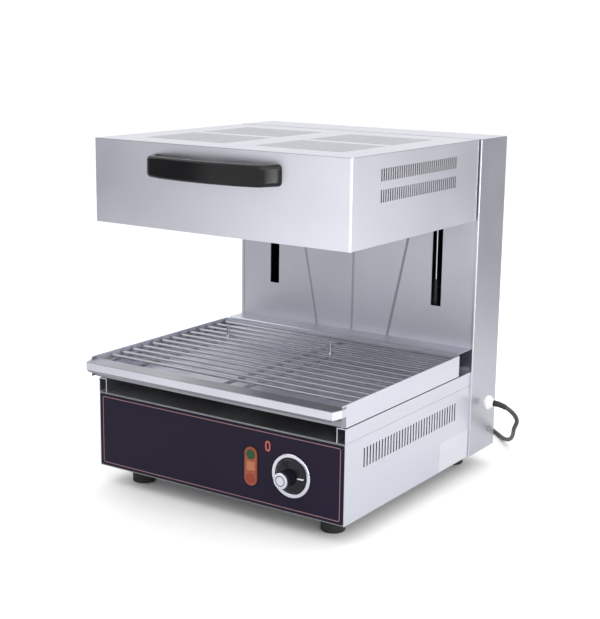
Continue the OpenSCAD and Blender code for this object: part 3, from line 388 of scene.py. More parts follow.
def make_moulded_group(smudge_tree):
    """Moulded plastic, rubber or paint: fine skin texture and slight wear of the gloss."""
    tree, start, end = new_group(
        "Moulded skin", {"Vector": None, "Colour": (0.05, 0.05, 0.05, 1), "Worn colour": (0.1, 0.1, 0.1, 1),
                         "Roughness": 0.4, "Skin scale": 900.0, "Wear": 0.15}, SKIN_OUTPUTS)
    marks = group_node(tree, smudge_tree, {"Vector": start["Vector"], "Scale": 26.0})[0]
    wear = times(tree, marks, start["Wear"])
    feed(tree, end["Colour"], colour_mix(tree, wear, start["Colour"], start["Worn colour"]))
    rough = math_node(tree, "ADD", start["Roughness"], times(tree, wear, 0.6), clamp=True)
    feed(tree, end["Roughness"], rough)
    feed(tree, end["Height"], noise_node(tree, start["Vector"], start["Skin scale"]))
    return tree


def make_crease_group():
    """Shade along one straight pressed crease: a line across the column's face."""
    tree, start, end = new_group(
        "Crease shade", {"Vector": None, "Middle": 0.0, "Lean": 0.0, "Width": 0.0035}, ["Shade"])
    parts = axes_of(tree, start["Vector"])
    line = less(tree, less(tree, parts[0], times(tree, parts[2], start["Lean"])), start["Middle"])
    off = math_node(tree, "DIVIDE", math_node(tree, "ABSOLUTE", line), start["Width"])
    feed(tree, end["Shade"], less(tree, 1.0, off, clamp=True))
    return tree


def make_band_group():
    """One between two heights, nought outside them."""
    tree, start, end = new_group("Height band", {"Height": 0.0, "Low": 0.0, "High": 1.0}, ["Band"])
    over = math_node(tree, "GREATER_THAN", start["Height"], start["Low"])
    under = math_node(tree, "LESS_THAN", start["Height"], start["High"])
    feed(tree, end["Band"], times(tree, over, under))
    return tree


# ---- Finishes


def dressed(name, group, values, bump, distance):
    """A material whose colour, roughness and height come from a shared group."""
    material = bpy.data.materials.new(name)
    material.use_nodes = True
    tree = material.node_tree
    shader = tree.nodes["Principled BSDF"].inputs
    place = tree.nodes.new("ShaderNodeTexCoord").outputs
    values["Vector"] = place["Object"]
    if "Fineness" in values:
        values["Normal"] = place["Normal"]
    made = group_node(tree, group, values)
    feed(tree, shader["Base Color"], made["Colour"])
    feed(tree, shader["Roughness"], made["Roughness"])
    relief = tree.nodes.new("ShaderNodeBump")
    relief.inputs["Strength"].default_value = bump
    relief.inputs["Distance"].default_value = distance
    feed(tree, relief.inputs["Height"], made["Height"])
    feed(tree, shader["Normal"], relief.outputs[0])
    return material, shader


def metal(group, name, colour, roughness, grain, marks, fineness=300.0, bump=0.01, metallic=1.0):
    material, shader = dressed(name, group, {
        "Colour": (*colour, 1), "Roughness": roughness, "Grain": grain, "Marks": marks,
        "Fineness": fineness}, bump, 0.0002)
    shader["Metallic"].default_value = metallic
    return material


def moulded(group, name, colour, worn, roughness, skin, wear, bump, shine=0.5, glow=0.0, glow_colour=None):
    material, shader = dressed(name, group, {
        "Colour": (*colour, 1), "Worn colour": (*worn, 1), "Roughness": roughness, "Skin scale": skin,
        "Wear": wear}, bump, 0.0003)
    shader["Specular IOR Level"].default_value = shine
    if glow:
        shader["Emission Color"].default_value = (*glow_colour, 1)
        shader["Emission Strength"].default_value = glow
    return material


def opened(material):
    """A made material's tree, its colour input, the object's coordinates and their three axes."""
    tree = material.node_tree
    place = next(n for n in tree.nodes if n.type == "TEX_COORD").outputs["Object"]
    return tree, tree.nodes["Principled BSDF"].inputs["Base Color"], place, axes_of(tree, place)


def lip_shades(material):
    """Painted shade on the tray's front lip: darker bands where it leans back, on its face and on its shelf.
    """
    tree, base, place, parts = opened(material)
    band_tree, colour = make_band_group(), base.links[0].from_socket
    front = math_node(tree, "LESS_THAN", parts[1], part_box("panel_film")[0].y - 0.003)
    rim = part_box("drip_tray")[1].z
    lows = (0.0, rim - LIP_LOW, rim - LIP_SHELF)
    highs = (rim - LIP_LOW, rim - LIP_SHELF, rim - LIP_RIM)
    for low, high, depth in zip(lows, highs, LIP_PAINTED_SHADE):
        band = group_node(tree, band_tree, {"Height": parts[2], "Low": low, "High": high})[0]
        painted_shade = times(tree, times(tree, band, front), depth)
        colour = colour_mix(tree, painted_shade, colour, (0.08, 0.085, 0.095, 1))
    feed(tree, base, colour)


def paint_inside_shade(material):
    """Painted shade: the column's inner sides, behind the outer sheet, are darkened to near black."""
    tree, base, place, parts = opened(material)
    colour, skin = base.links[0].from_socket, 0.0006
    inside = math_node(tree, "LESS_THAN", math_node(tree, "ABSOLUTE", parts[0]),
                       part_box("column_side_right")[1].x - skin)
    for axis, limit, kind in ((1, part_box("column_back")[1].y - skin, "LESS_THAN"),
                              (1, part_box("column_face")[1].y, "GREATER_THAN"),
                              (2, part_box("column_top")[1].z - skin, "LESS_THAN")):
        inside = times(tree, inside, math_node(tree, kind, parts[axis], limit))
    feed(tree, base, colour_mix(tree, times(tree, inside, 0.93), colour, (0.02, 0.021, 0.023, 1)))


def crease_shades(material):
    """Paints shade on the column's sheet along its three creases, and a little towards its left side."""
    tree, base, place, parts = opened(material)
    crease_tree, colour = make_crease_group(), base.links[0].from_socket
    low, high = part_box("column_face")
    lit = smooth_step(tree, parts[0], low.x, LEFT_PAINTED_SHADE_END)
    duller = less(tree, LEFT_PAINTED_SHADE, times(tree, lit, LEFT_PAINTED_SHADE))
    colour = colour_mix(tree, duller, colour, (0.22, 0.23, 0.26, 1))
    foot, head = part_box("drip_tray")[1].z + CREASE_FOOT, high.z - CREASE_HEAD
    for foot_x, head_x, depth in CREASES:
        lean = (head_x - foot_x) / (head - foot)
        line = {"Vector": place, "Lean": lean, "Middle": foot_x - lean * foot}
        shade = times(tree, group_node(tree, crease_tree, line)[0], depth)
        colour = colour_mix(tree, shade, colour, (0.10, 0.11, 0.12, 1))
    feed(tree, base, colour)


# The stainless sheets: name, share of the sheet's colour, added roughness and, where they aren't
# the setting's, handling marks. Shares below one are painted shade: darker copies of the one
# stainless sheet, standing in for the light each part gets.
SHEETS = {
    "stainless": ("Stainless sheet", 1.0, 0.0, None),
    "column": ("Column sheet", 0.70, 0.02, None),
    "base": ("Base sheet", 0.90, 0.0, None),
    "face": ("Creased sheet", 0.86, 0.15, None),
    "tray": ("Tray sheet", 0.93, 0.0, 0.18),
}
# Name, colour, roughness, grain, marks, fineness of the grain, bump, metallic.
METALS = {
    "plain": ("Plain sheet", (0.30, 0.31, 0.32), 0.45, 0.1, 0.2),
    "dark": ("Blackened plate", (0.06, 0.062, 0.066), 0.5, 0.1, 0.3),
    "reflector": ("Bright reflector", (0.58, 0.58, 0.60), 0.24, 0.08, 0.25),
    "chrome": ("Chrome", (0.78, 0.79, 0.88), 0.14, 0.04, 0.08, 300, 0.03),
    "wire": ("Chromed wire", (0.42, 0.425, 0.45), 0.3, 0.06, 0.16, 500, 0.05),
    "zinc": ("Zinc plate", (0.45, 0.46, 0.46), 0.34, 0.1, 0.3),
    "element": ("Oxidised element", (0.10, 0.095, 0.09), 0.55, 0.1, 0.4, 500, 0.1, 0.7),
}
# Name, colour, worn colour, roughness, skin scale, wear, bump, shine, glow and its colour.
MOULDINGS = {
    "film": ("Panel film", (0.015, 0.0105, 0.0245), (0.023, 0.018, 0.034), 0.22, 700, 0.1, 0.02, 0.09),
    "handle": ("Glossy black", (0.005, 0.005, 0.006), (0.012, 0.012, 0.014), 0.11, 500, 0.1, 0.02, 0.28),
    "knob": ("Knob black", (0.006, 0.006, 0.013), (0.018, 0.018, 0.028), 0.14, 600, 0.1, 0.02, 0.32),
    "satin": ("Satin black", (0.018, 0.018, 0.020), (0.05, 0.05, 0.05), 0.42, 900, 0.2, 0.1, 0.4),
    "paint": ("Black paint", (0.010, 0.010, 0.012), (0.04, 0.04, 0.04), 0.25, 500, 0.2, 0.05),
    "rubber": ("Black rubber", (0.016, 0.016, 0.018), (0.06, 0.058, 0.055), 0.6, 1400, 0.4, 0.3, 0.3),
    "lead": ("Lead sheath", (0.028, 0.031, 0.032), (0.07, 0.07, 0.07), 0.36, 1200, 0.25, 0.12),
    "white": ("White nylon", (0.78, 0.78, 0.77), (0.55, 0.54, 0.50), 0.4, 800, 0.25, 0.1),
    "bearing": ("Machined plastic", (0.66, 0.66, 0.62), (0.4, 0.4, 0.37), 0.45, 800, 0.3, 0.1),
    "ceramic": ("Ceramic", (0.78, 0.76, 0.70), (0.5, 0.46, 0.38), 0.6, 900, 0.4, 0.2),
    "phenolic": ("Brown moulding", (0.30, 0.24, 0.15), (0.2, 0.16, 0.10), 0.5, 900, 0.3, 0.15),
    "wool": ("Mineral wool", (0.30, 0.27, 0.21), (0.20, 0.18, 0.14), 0.9, 260, 0.6, 1.0, 0.2),
    "lamp_green": ("Green lens", (0.006, 0.032, 0.010), (0.012, 0.07, 0.02), 0.14, 400, 0.3, 0.05,
                   0.4, 0.03, (0.02, 0.5, 0.12)),
    "lamp_orange": ("Orange lens", (0.18, 0.020, 0.008), (0.32, 0.055, 0.02), 0.14, 400, 0.3, 0.05,
                    0.4, 0.04, (0.9, 0.12, 0.03)),
    "marker": ("Orange block", (0.34, 0.10, 0.045), (0.5, 0.2, 0.1), 0.2, 400, 0.3, 0.05,
               0.4, 0.03, (0.9, 0.22, 0.07)),
    "lamp_frame": ("Lamp frame", (0.23, 0.045, 0.020), (0.36, 0.11, 0.06), 0.2, 400, 0.3, 0.05, 0.4),
}
FINISHES = {}


def make_finishes(steel):
    smudge_tree = make_smudge_group()
    metal_tree = make_metal_group(make_brushed_group(), smudge_tree)
    moulded_tree = make_moulded_group(smudge_tree)
    for key, (name, share, duller, marks) in SHEETS.items():
        FINISHES[key] = metal(metal_tree, name, [share * c for c in steel.sheet_colour],
                              steel.sheet_roughness + duller, steel.grain, marks or steel.smudge)
    for key, look in METALS.items():
        FINISHES[key] = metal(metal_tree, *look)
    for key, look in MOULDINGS.items():
        FINISHES[key] = moulded(moulded_tree, *look)
    paint_inside_shade(FINISHES["column"])
    crease_shades(FINISHES["face"])
    lip_shades(FINISHES["tray"])


def repainted(finish, name, values):
    """A copy of a finish with other values in its group."""
    material = FINISHES[finish].copy()
    material.name = name
    skin = next(n for n in material.node_tree.nodes if n.type == "GROUP")
    for label, value in values.items():
        skin.inputs[label].default_value = value
    return material


NODE_FINISH = {
    "stainless": ["hood_shell", "hood_rear"],
    "base": ["base_side_left", "base_side_right", "tray_rail_left", "tray_rail_right"],
    "face": ["column_face"],
    "column": ["hood_top", "column_side_left", "column_side_right", "column_top", "column_back",
               "rear_ledge"],
    "tray": ["drip_tray"],
    "plain": ["base_floor", "inner_deck", "control_panel", "lower_crossbar", "upper_crossbar", "rod_sockets",
              "stop_sleeves", "element_hangers"],
    "dark": ["lift_arm_left", "lift_arm_right", "carriage_plate"],
    "reflector": ["hood_liner"],
    "chrome": ["dial_ring", "knob_cap", "guide_rods", "strut_rods", "plug_pins"],
    "wire": ["wire_grid"],
    "zinc": ["foot_screws", "regulator_nut", "regulator_shaft", "column_screws", "handle_screws",
             "strut_nuts"],
    "element": ["heating_elements"],
    "film": ["panel_film"],
    "handle": ["handle"],
    "knob": ["knob"],
    "satin": ["tray_runners", "plug_body"],
    "paint": ["strut_cylinders"],
    "rubber": ["feet", "stop_rings"],
    "lead": ["power_cord", "cord_coil"],
    "white": ["cable_gland", "gland_nut"],
    "bearing": ["bearing_blocks"],
    "ceramic": ["element_insulators", "terminal_block"],
    "phenolic": ["regulator"],
    "wool": ["insulation"],
    "lamp_green": ["lamp_green"],
    "lamp_orange": ["lamp_orange"],
    "lamp_frame": ["lamp_frame"],
    "marker": ["lamp_marker"],
}



# ---- Shaping


def piece_from(mesh, finish, body):
    """A finished piece at the origin with its mesh's name, riding on its body."""
    piece = bpy.data.objects.new(mesh.name, mesh)
    bpy.context.scene.collection.objects.link(piece)
    mesh.materials.clear()
    mesh.materials.append(FINISHES[finish])
    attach(piece, body)
    return piece


@contextlib.contextmanager
def edited(mesh):
    """A mesh opened for edits, which are written back at the end."""
    shape = bmesh.new()
    shape.from_mesh(mesh)
    yield shape
    shape.to_mesh(mesh)
    shape.free()


def mesh_from(name, points, faces, smooth=True):
    mesh = bpy.data.meshes.new(name)
    mesh.from_pydata([tuple(p) for p in points], [], faces)
    with edited(mesh) as shape:
        bmesh.ops.remove_doubles(shape, verts=shape.verts, dist=1e-7)
        bmesh.ops.recalc_face_normals(shape, faces=shape.faces)
    for face in mesh.polygons:
        face.use_smooth = smooth
    return mesh


def skin_of(name, rings, closed=False):
    """A closed skin over rings of points: with a flat end on each side, or back to its start."""
    count = len(rings[0])
    faces = []
    for i in range(len(rings) if closed else len(rings) - 1):
        near, far = i * count, (i + 1) % len(rings) * count
        for k in range(count):
            m = (k + 1) % count
            faces.append((near + k, near + m, far + m, far + k))
    if not closed:
        faces.append(tuple(range(count)))
        faces.append(tuple((len(rings) - 1) * count + k for k in range(count)))
    return mesh_from(name, [p for ring in rings for p in ring], faces)


def soften(mesh, angle):
    """Sharp edges stay sharp where faces meet at more than the angle."""
    with edited(mesh) as shape:
        for edge in shape.edges:
            edge.smooth = len(edge.link_faces) == 2 and edge.calc_face_angle(0.0) < math.radians(angle)


def direction(degrees):
    """Level unit vector at an angle from X."""
    return Vector((math.cos(math.radians(degrees)), math.sin(math.radians(degrees)), 0))


def turns(count):
    """Evenly spaced angles once round."""
    return [2 * math.pi * k / count for k in range(count)]


def rounded(half_w, half_h, radii, steps):
    """Points round a rectangle whose corners are rounded, from the upper right one on."""
    points = []
    for quarter, (sx, sy) in enumerate(((1, 1), (-1, 1), (-1, -1), (1, -1))):
        radius = radii[quarter]
        for t in (math.radians(90 * (quarter + k / steps)) for k in range(steps + 1)):
            points.append((sx * (half_w - radius) + radius * math.cos(t),
                           sy * (half_h - radius) + radius * math.sin(t)))
    return points


def squared_oval(half_w, half_h, squareness, count):
    """Points round an oval; 2 is an ellipse, more is squarer."""
    def side(half, part):
        return half * math.copysign(abs(part) ** (2 / squareness), part)

    return [(side(half_w, math.cos(t)), side(half_h, math.sin(t))) for t in turns(count)]


def coil_centre():
    start = Vector((*GLAND_MOUTH, 0)) + Vector(LEAD_ROUTE[-1])
    return start - COIL_RADIUS * direction(COIL_HEADING - 90)


def lead_paths():
    """The free stretch and the coil, in metres, and the heading in which the coil ends."""
    mouth = Vector((*GLAND_MOUTH, 0))
    free = [(mouth + Vector(p)) * MM for p in LEAD_ROUTE]
    coil = []
    for i in [*range(int(COIL_TURNS * COIL_STEPS) + 1), COIL_TURNS * COIL_STEPS]:
        u = i / COIL_STEPS
        climb = max(0.0, min(1.0, (u - COIL_TURNS / 2 + 0.25) / 0.5))
        radius = COIL_RADIUS - COIL_PITCH * min(u, COIL_TURNS - u)
        height = COIL_RISE * (3 * climb ** 2 - 2 * climb ** 3)
        out = direction(COIL_HEADING - 90 + 360 * u)
        coil.append((coil_centre() + radius * out + Vector((0, 0, height))) * MM)
    heading = direction(COIL_HEADING + 360 * COIL_TURNS)
    end = coil[-1]
    coil += [end + heading * TAIL / 2 * MM, end + heading * TAIL * MM]
    return free, coil, heading


def box_mesh(name, low, high, bevel):
    mesh = bpy.data.meshes.new(name)
    with edited(mesh) as shape:
        bmesh.ops.create_cube(shape, size=1.0)
        for v in shape.verts:
            v.co = Vector((low[i] + (v.co[i] + 0.5) * (high[i] - low[i]) for i in range(3)))
        bmesh.ops.bevel(shape, geom=list(shape.edges), offset=bevel, segments=2, affect="EDGES", profile=0.5)
    return mesh


# ---- Geometry nodes


def scatter_tree(name, form):
    """Puts a copy of a small form on every point: a bead, or a cross that stands for a screw recess as
    painted shade.
    """
    tree = bpy.data.node_groups.new(name, "GeometryNodeTree")
    for label, way, kind in (("Geometry", "INPUT", "Geometry"), ("Size", "INPUT", "Float"),
                             ("Finish", "INPUT", "Material"), ("Geometry", "OUTPUT", "Geometry")):
        tree.interface.new_socket(label, in_out=way, socket_type="NodeSocket" + kind)
    start, end = tree.nodes.new("NodeGroupInput").outputs, tree.nodes.new("NodeGroupOutput").inputs
    if form == "bead":
        bead = tree.nodes.new("GeometryNodeMeshIcoSphere")
        bead.inputs["Subdivisions"].default_value = 2
        bead.inputs["Radius"].default_value = 1.0
        shape = bead.outputs["Mesh"]
        proportions = (1.25, 1.0, 0.8)
    else:
        joined = tree.nodes.new("GeometryNodeJoinGeometry")
        for proportion in ((1.0, 0.08, 0.26), (0.26, 0.08, 1.0)):
            bar = tree.nodes.new("GeometryNodeMeshCube")
            bar.inputs["Size"].default_value = proportion
            feed(tree, joined.inputs[0], bar.outputs["Mesh"])
        shape = joined.outputs[0]
        proportions = (1.0, 1.0, 1.0)
    scale = tree.nodes.new("ShaderNodeVectorMath")
    scale.operation = "SCALE"
    scale.inputs[0].default_value = proportions
    feed(tree, scale.inputs["Scale"], start["Size"])
    scatter = tree.nodes.new("GeometryNodeInstanceOnPoints")
    feed(tree, scatter.inputs["Points"], start["Geometry"])
    feed(tree, scatter.inputs["Instance"], shape)
    feed(tree, scatter.inputs["Scale"], scale.outputs[0])
    real = tree.nodes.new("GeometryNodeRealizeInstances")
    feed(tree, real.inputs[0], scatter.outputs[0])
    coat = tree.nodes.new("GeometryNodeSetMaterial")
    feed(tree, coat.inputs["Geometry"], real.outputs[0])
    feed(tree, coat.inputs["Material"], start["Finish"])
    feed(tree, end["Geometry"], coat.outputs[0])
    return tree


def scatter_on(name, points, tree, size, finish, body, smooth):
    """A plain mesh of the tree's copies on the points."""
    seed = bpy.data.meshes.new(name + "_points")
    seed.from_pydata([tuple(p) for p in points], [], [])
    holder = bpy.data.objects.new(name + "_points", seed)
    bpy.context.scene.collection.objects.link(holder)
    modifier = holder.modifiers.new("Scatter", "NODES")
    modifier.node_group = tree
    names = {s.name: s.identifier for s in tree.interface.items_tree if s.in_out == "INPUT"}
    modifier[names["Size"]] = size
    modifier[names["Finish"]] = FINISHES[finish]
    bpy.context.view_layer.update()
    made = bpy.data.meshes.new_from_object(holder.evaluated_get(bpy.context.evaluated_depsgraph_get()))
    made.name = name
    bpy.data.objects.remove(holder)
    for face in made.polygons:
        face.use_smooth = smooth
    return piece_from(made, finish, body)


# ---- Operators


class LIFTGRILL_OT_camera(bpy.types.Operator):
    """Places the camera where the photograph was taken from"""

    bl_idname = "liftgrill.camera"
    bl_label = "Camera"

    def execute(self, context):
        place, roll = Vector(CAMERA_PLACE), Matrix.Rotation(math.radians(CAMERA_ROLL), 4, "Z")
        data = bpy.data.cameras.new("Camera")
        data.lens, data.sensor_width = CAMERA_LENS, CAMERA_SENSOR
        camera = bpy.data.objects.new("Camera", data)
        aim = (Vector(CAMERA_TARGET) - place).to_track_quat("-Z", "Y").to_matrix().to_4x4()
        camera.matrix_world = Matrix.Translation(place) @ aim @ roll
        context.scene.collection.objects.link(camera)
        context.scene.camera = camera
        return {"FINISHED"}


class LIFTGRILL_OT_finishes(bpy.types.Operator):
    """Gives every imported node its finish"""

    bl_idname = "liftgrill.finishes"
    bl_label = "Finishes"

    def execute(self, context):
        make_finishes(context.scene.liftgrill_steel)
        finish_of = {node: finish for finish, nodes in NODE_FINISH.items() for node in nodes}
        missing = set(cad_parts) - set(finish_of)
        if missing:
            raise RuntimeError("no finish for " + ", ".join(sorted(missing)))
        for node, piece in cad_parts.items():
            piece.data.materials.clear()
            piece.data.materials.append(FINISHES[finish_of[node]])
        return {"FINISHED"}


class LIFTGRILL_OT_lead(bpy.types.Operator):
    """Lays the mains lead on its route, with its strain relief and plug"""

    bl_idname = "liftgrill.lead"
    bl_label = "Mains lead"

    def execute(self, context):
        sizes = context.scene.liftgrill_lead
        free, coil, heading = lead_paths()
        route = free + coil[1:]
        data = bpy.data.curves.new("mains_lead", "CURVE")
        data.dimensions = "3D"
        data.bevel_depth = sizes.diameter / 2
        data.bevel_resolution = 5
        data.resolution_u = 4
        data.use_fill_caps = True
        spline = data.splines.new("BEZIER")
        spline.bezier_points.add(len(route) - 1)
        for point, place in zip(spline.bezier_points, route):
            point.co = place
            point.handle_left_type = point.handle_right_type = "AUTO"
        data.materials.append(FINISHES["lead"])
        lead = bpy.data.objects.new("mains_lead", data)
        context.scene.collection.objects.link(lead)
        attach(lead, "base")
        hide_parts("power_cord", "cord_coil")
        relief = self.strain_relief(sizes, free)
        plug = self.plug(coil[-1], heading)
        tie = self.coil_tie()
        return {"FINISHED"}

    def strain_relief(self, sizes, free):
        """A tapered, ribbed sleeve that follows the lead out of the gland."""
        sides, parts, margin, groove, grooves_to = 24, 6, 0.0012, 0.0004, 0.85
        dense = [a.lerp(b, k / parts) for a, b in zip(free[:6], free[1:6]) for k in range(parts)]
        rings, travelled, last = [], 0.0, dense[0]
        for i, p in enumerate(dense):
            travelled += (p - last).length
            last = p
            if travelled > sizes.relief_length:
                break
            share = travelled / sizes.relief_length
            ahead = (dense[min(i + 1, len(dense) - 1)] - dense[max(i - 1, 0)]).normalized()
            side = ahead.cross(Vector((0, 0, 1))).normalized()
            up = side.cross(ahead)
            radius = (sizes.relief_diameter * (1 - share) + (sizes.diameter + margin) * share) / 2
            if i % 3 == 2 and share < grooves_to:
                radius -= groove
            rings.append([p + radius * (math.cos(t) * side + math.sin(t) * up) for t in turns(sides)])
        return piece_from(skin_of("strain_relief", rings), "satin", "base")

    def coil_tie(self):
        """A strap round the turns of the coil, where both layers hold three."""
        centre = coil_centre()
        centre.z = 0
        out, along = direction(TIE_ANGLE), direction(TIE_ANGLE + 90)
        middle = centre + TIE_MIDDLE[0] * out + Vector((0, 0, TIE_MIDDLE[1]))
        rings = []
        for inset, side in ((0, -1), (0, 1), (TIE_THICK, 1), (TIE_THICK, -1)):
            outline = rounded(TIE_HALF[0] - inset, TIE_HALF[1] - inset, [TIE_CORNER - inset] * 4, 6)
            rings.append([(middle + r * out + side * TIE_HALF_WIDTH * along + Vector((0, 0, z))) * MM
                          for r, z in outline])
        mesh = skin_of("coil_tie", rings, closed=True)
        soften(mesh, 40)
        return piece_from(mesh, "rubber", "base")

    def plug(self, start, heading):
        """A moulded plug: ribbed boot, waisted body and a flat front face."""
        side = Vector((0, 0, 1)).cross(heading)
        place = Matrix.Translation(start) @ Matrix((heading, side, Vector((0, 0, 1)))).transposed().to_4x4()
        sections = [(0.0, 5.0, 5.0, 2.0)]
        for k in range(5):
            s, r = 1.5 + 2.8 * k, 5.4 + 0.45 * k
            sections += [(s, r, r, 2.0), (s + 1.5, r + 0.15, r + 0.15, 2.0), (s + 1.8, r - 0.7, r - 0.7, 2.0),
                         (s + 2.5, r - 0.7, r - 0.7, 2.0)]
        rings = [[place @ (Vector((s, y, z)) * MM) for y, z in squared_oval(half_w, half_h, squareness, 48)]
                 for s, half_w, half_h, squareness in sections + PLUG_SECTIONS]
        mesh = skin_of("plug_shell", rings)
        soften(mesh, 35)
        plug = piece_from(mesh, "satin", "base")
        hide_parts("plug_body")
        return plug


class LIFTGRILL_OT_handle(bpy.types.Operator):
    """Shapes the bow handle with rounded edges and full ends"""

    bl_idname = "liftgrill.handle"
    bl_label = "Bow handle"

    def execute(self, context):
        settings = context.scene.liftgrill_handle
        low, high = (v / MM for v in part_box("handle"))
        half, half_h = (high.x - low.x) / 2 - LEG_INSET, (high.z - low.z) / 2
        middle_z, lean = (low.z + high.z) / 2, math.radians(settings.lean_degrees)
        reach = high.y - low.y - BAR_THICK / 2
        rings = []
        for place, a in self.spine(half, reach, lean):
            full = max(0.0, min(1.0, (abs(place.x) - FULL_FROM * half) / (FULL_OVER * half)))
            edge = settings.edge_radius / MM * (1 - full) + END_EDGE * full
            out = Vector((math.sin(a), math.cos(a)))
            # The outer edges are rounder than the inner ones.
            outline = rounded(BAR_THICK / 2, half_h, (edge, INNER_EDGE, INNER_EDGE, edge), 8)
            rings.append([(place + u * out, v) for u, v in outline])
        along = Vector((math.cos(lean), -math.sin(lean)))
        rings.append([(p + along * (p.y / math.sin(lean)), v) for p, v in rings[-1]])
        right = [[Vector((p.x, high.y - p.y, middle_z + v)) * MM for p, v in ring] for ring in rings]
        left = [[Vector((-p.x, p.y, p.z)) for p in ring] for ring in reversed(right[1:])]
        mesh = skin_of("bow_handle", left + right)
        soften(mesh, 32)
        handle = piece_from(mesh, "handle", "hood")
        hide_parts("handle")
        return {"FINISHED"}

    def spine(self, half, reach, lean):
        """Middle line of the right half, with the angle that its outward side has at each point."""
        def on_bow(a, radius):
            return Vector((radius * math.sin(a), radius * math.cos(a) + reach - BOW_RADIUS))

        def on_bend(turn, a):
            return on_bow(turn, BOW_RADIUS - BEND_RADIUS) + BEND_RADIUS * Vector((math.sin(a), math.cos(a)))

        foot = half - BAR_THICK / 2 / math.sin(lean)
        turn = math.radians(12)
        for _ in range(20):
            end = on_bend(turn, lean)
            turn *= foot / (end.x + end.y / math.tan(lean))
        bow = [(on_bow(turn * k / 48, BOW_RADIUS), turn * k / 48) for k in range(49)]
        bend = [turn + (lean - turn) * k / 12 for k in range(1, 13)]
        return bow + [(on_bend(turn, a), a) for a in bend]


class LIFTGRILL_OT_panel_print(bpy.types.Operator):
    """Prints the line round the panel and the zero beside the dial"""

    bl_idname = "liftgrill.panel_print"
    bl_label = "Panel print"

    def execute(self, context):
        settings = context.scene.liftgrill_panel
        for name, colour in (("line", settings.line_colour), ("zero", settings.zero_colour)):
            FINISHES[name] = repainted("film", "Printed " + name, {
                "Colour": (*colour, 1), "Worn colour": (*(0.7 * c for c in colour), 1)})
        low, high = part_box("panel_film")
        front = low.y - PRINT_PROUD
        self.outline(settings, low, high, front)
        self.zero(settings, front)
        return {"FINISHED"}

    def outline(self, settings, low, high, front):
        """The line is two rounded outlines, one inside the other."""
        middle, half = (low + high) / 2, (high - low) / 2
        half_w, half_h = half.x - settings.line_inset, half.z - settings.line_inset * 0.75
        outer, inner = (rounded(half_w - width, half_h - width, [LINE_CORNER - width] * 4, 6)
                        for width in (0, settings.line_width))
        points = [(middle.x + x, front, middle.z + z) for pair in zip(outer, inner) for x, z in pair]
        count = len(points)
        faces = [(i, (i + 2) % count, (i + 3) % count, i + 1) for i in range(0, count, 2)]
        self.printed("panel_line", points, faces, "line")

    def zero(self, settings, front):
        """The numeral is two squared ovals, one inside the other."""
        height, steps, points = settings.zero_height, 40, []
        for wide, tall in ZERO_OUTLINES:
            points += [(ZERO_CENTRE[0] + x, front, ZERO_CENTRE[1] + z)
                       for x, z in squared_oval(height * wide, height * tall, ZERO_SQUARENESS, steps)]
        faces = [(k, (k + 1) % steps, steps + (k + 1) % steps, steps + k) for k in range(steps)]
        self.printed("panel_zero", points, faces, "zero")

    def printed(self, name, points, faces, finish):
        """Printed marks are thin closed plates that face forward."""
        mesh = mesh_from(name, points, faces, False)
        with edited(mesh) as shape:
            for face in shape.faces:
                if face.normal.y > 0:
                    face.normal_flip()
            back = bmesh.ops.extrude_face_region(shape, geom=list(shape.faces))
            moved = [v for v in back["geom"] if isinstance(v, bmesh.types.BMVert)]
            bmesh.ops.translate(shape, verts=moved, vec=(0, PRINT_THICK, 0))
            bmesh.ops.recalc_face_normals(shape, faces=shape.faces)
        piece_from(mesh, finish, "base")


class LIFTGRILL_OT_dial_mark(bpy.types.Operator):
    """Adds the white pointer to the dial and the mark on its cap"""

    bl_idname = "liftgrill.dial_mark"
    bl_label = "Dial mark"

    def execute(self, context):
        low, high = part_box("knob")
        x, z = (low.x + high.x) / 2, (low.z + high.z) / 2
        mesh = box_mesh("dial_pointer", (x + POINTER_FROM, high.y - POINTER_BACK, z - POINTER_HALF),
                        (x + POINTER_TO, high.y - POINTER_FRONT, z + POINTER_HALF), POINTER_BEVEL)
        piece_from(mesh, "white", "knob")
        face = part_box("knob_cap")[0].y
        rings = [[(x + radius * math.cos(t), face + depth, z + radius * math.sin(t)) for t in turns(64)]
                 for radius, depth in CAP_RING]
        piece_from(skin_of("dial_cap_ring", rings, closed=True), "knob", "knob")
        return {"FINISHED"}


class LIFTGRILL_OT_repeats(bpy.types.Operator):
    """Adds the weld beads of the wire grid and black crosses on the screws, painted shade for their recesses
    """

    bl_idname = "liftgrill.repeats"
    bl_label = "Welds and painted screw shade"

    def execute(self, context):
        settings = context.scene.liftgrill_grid
        low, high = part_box("wire_grid")
        tray_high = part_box("drip_tray")[1]
        z = tray_high.z - WIRE_DEPTH - BEAD_DEPTH
        beads = []
        for i in range(settings.beads_across):
            y = tray_high.y - WIRE_FIRST - i * WIRE_PITCH
            stops = STOP_WIRES if i > STOPS_AFTER else ()
            beads += [(x, y, z) for x in (low.x + END_WIRE, MIDDLE_WIRE, high.x - END_WIRE, *stops)]
        scatter_on("grid_welds", beads, scatter_tree("Weld beads", "bead"), settings.bead_radius, "wire",
                   "grid", True)
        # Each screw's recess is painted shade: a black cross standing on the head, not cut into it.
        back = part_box("column_screws")[1].y
        painted_recesses = [(x, back, z) for x in (-SCREW_X, SCREW_X) for z in SCREW_Z]
        scatter_on("screw_recess_shades", painted_recesses, scatter_tree("Screw recess shades", "cross"), RECESS_SIZE, "satin",
                   "base", False)
        return {"FINISHED"}


class LIFTGRILL_OT_rating_plate(bpy.types.Operator):
    """Sticks the bare rating plate low on the right side"""

    bl_idname = "liftgrill.rating_plate"
    bl_label = "Rating plate"

    def execute(self, context):
        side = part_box("base_side_right")[1].x
        FINISHES["plate"] = repainted(
            "white", "Bare plate", {"Colour": (0.47, 0.48, 0.53, 1), "Roughness": 0.3})
        mesh = box_mesh("rating_plate", (side - PLATE_SUNK, PLATE_Y[0], PLATE_Z[0]),
                        (side + PLATE_PROUD, PLATE_Y[1], PLATE_Z[1]), PLATE_BEVEL)
        piece_from(mesh, "plate", "base")
        return {"FINISHED"}


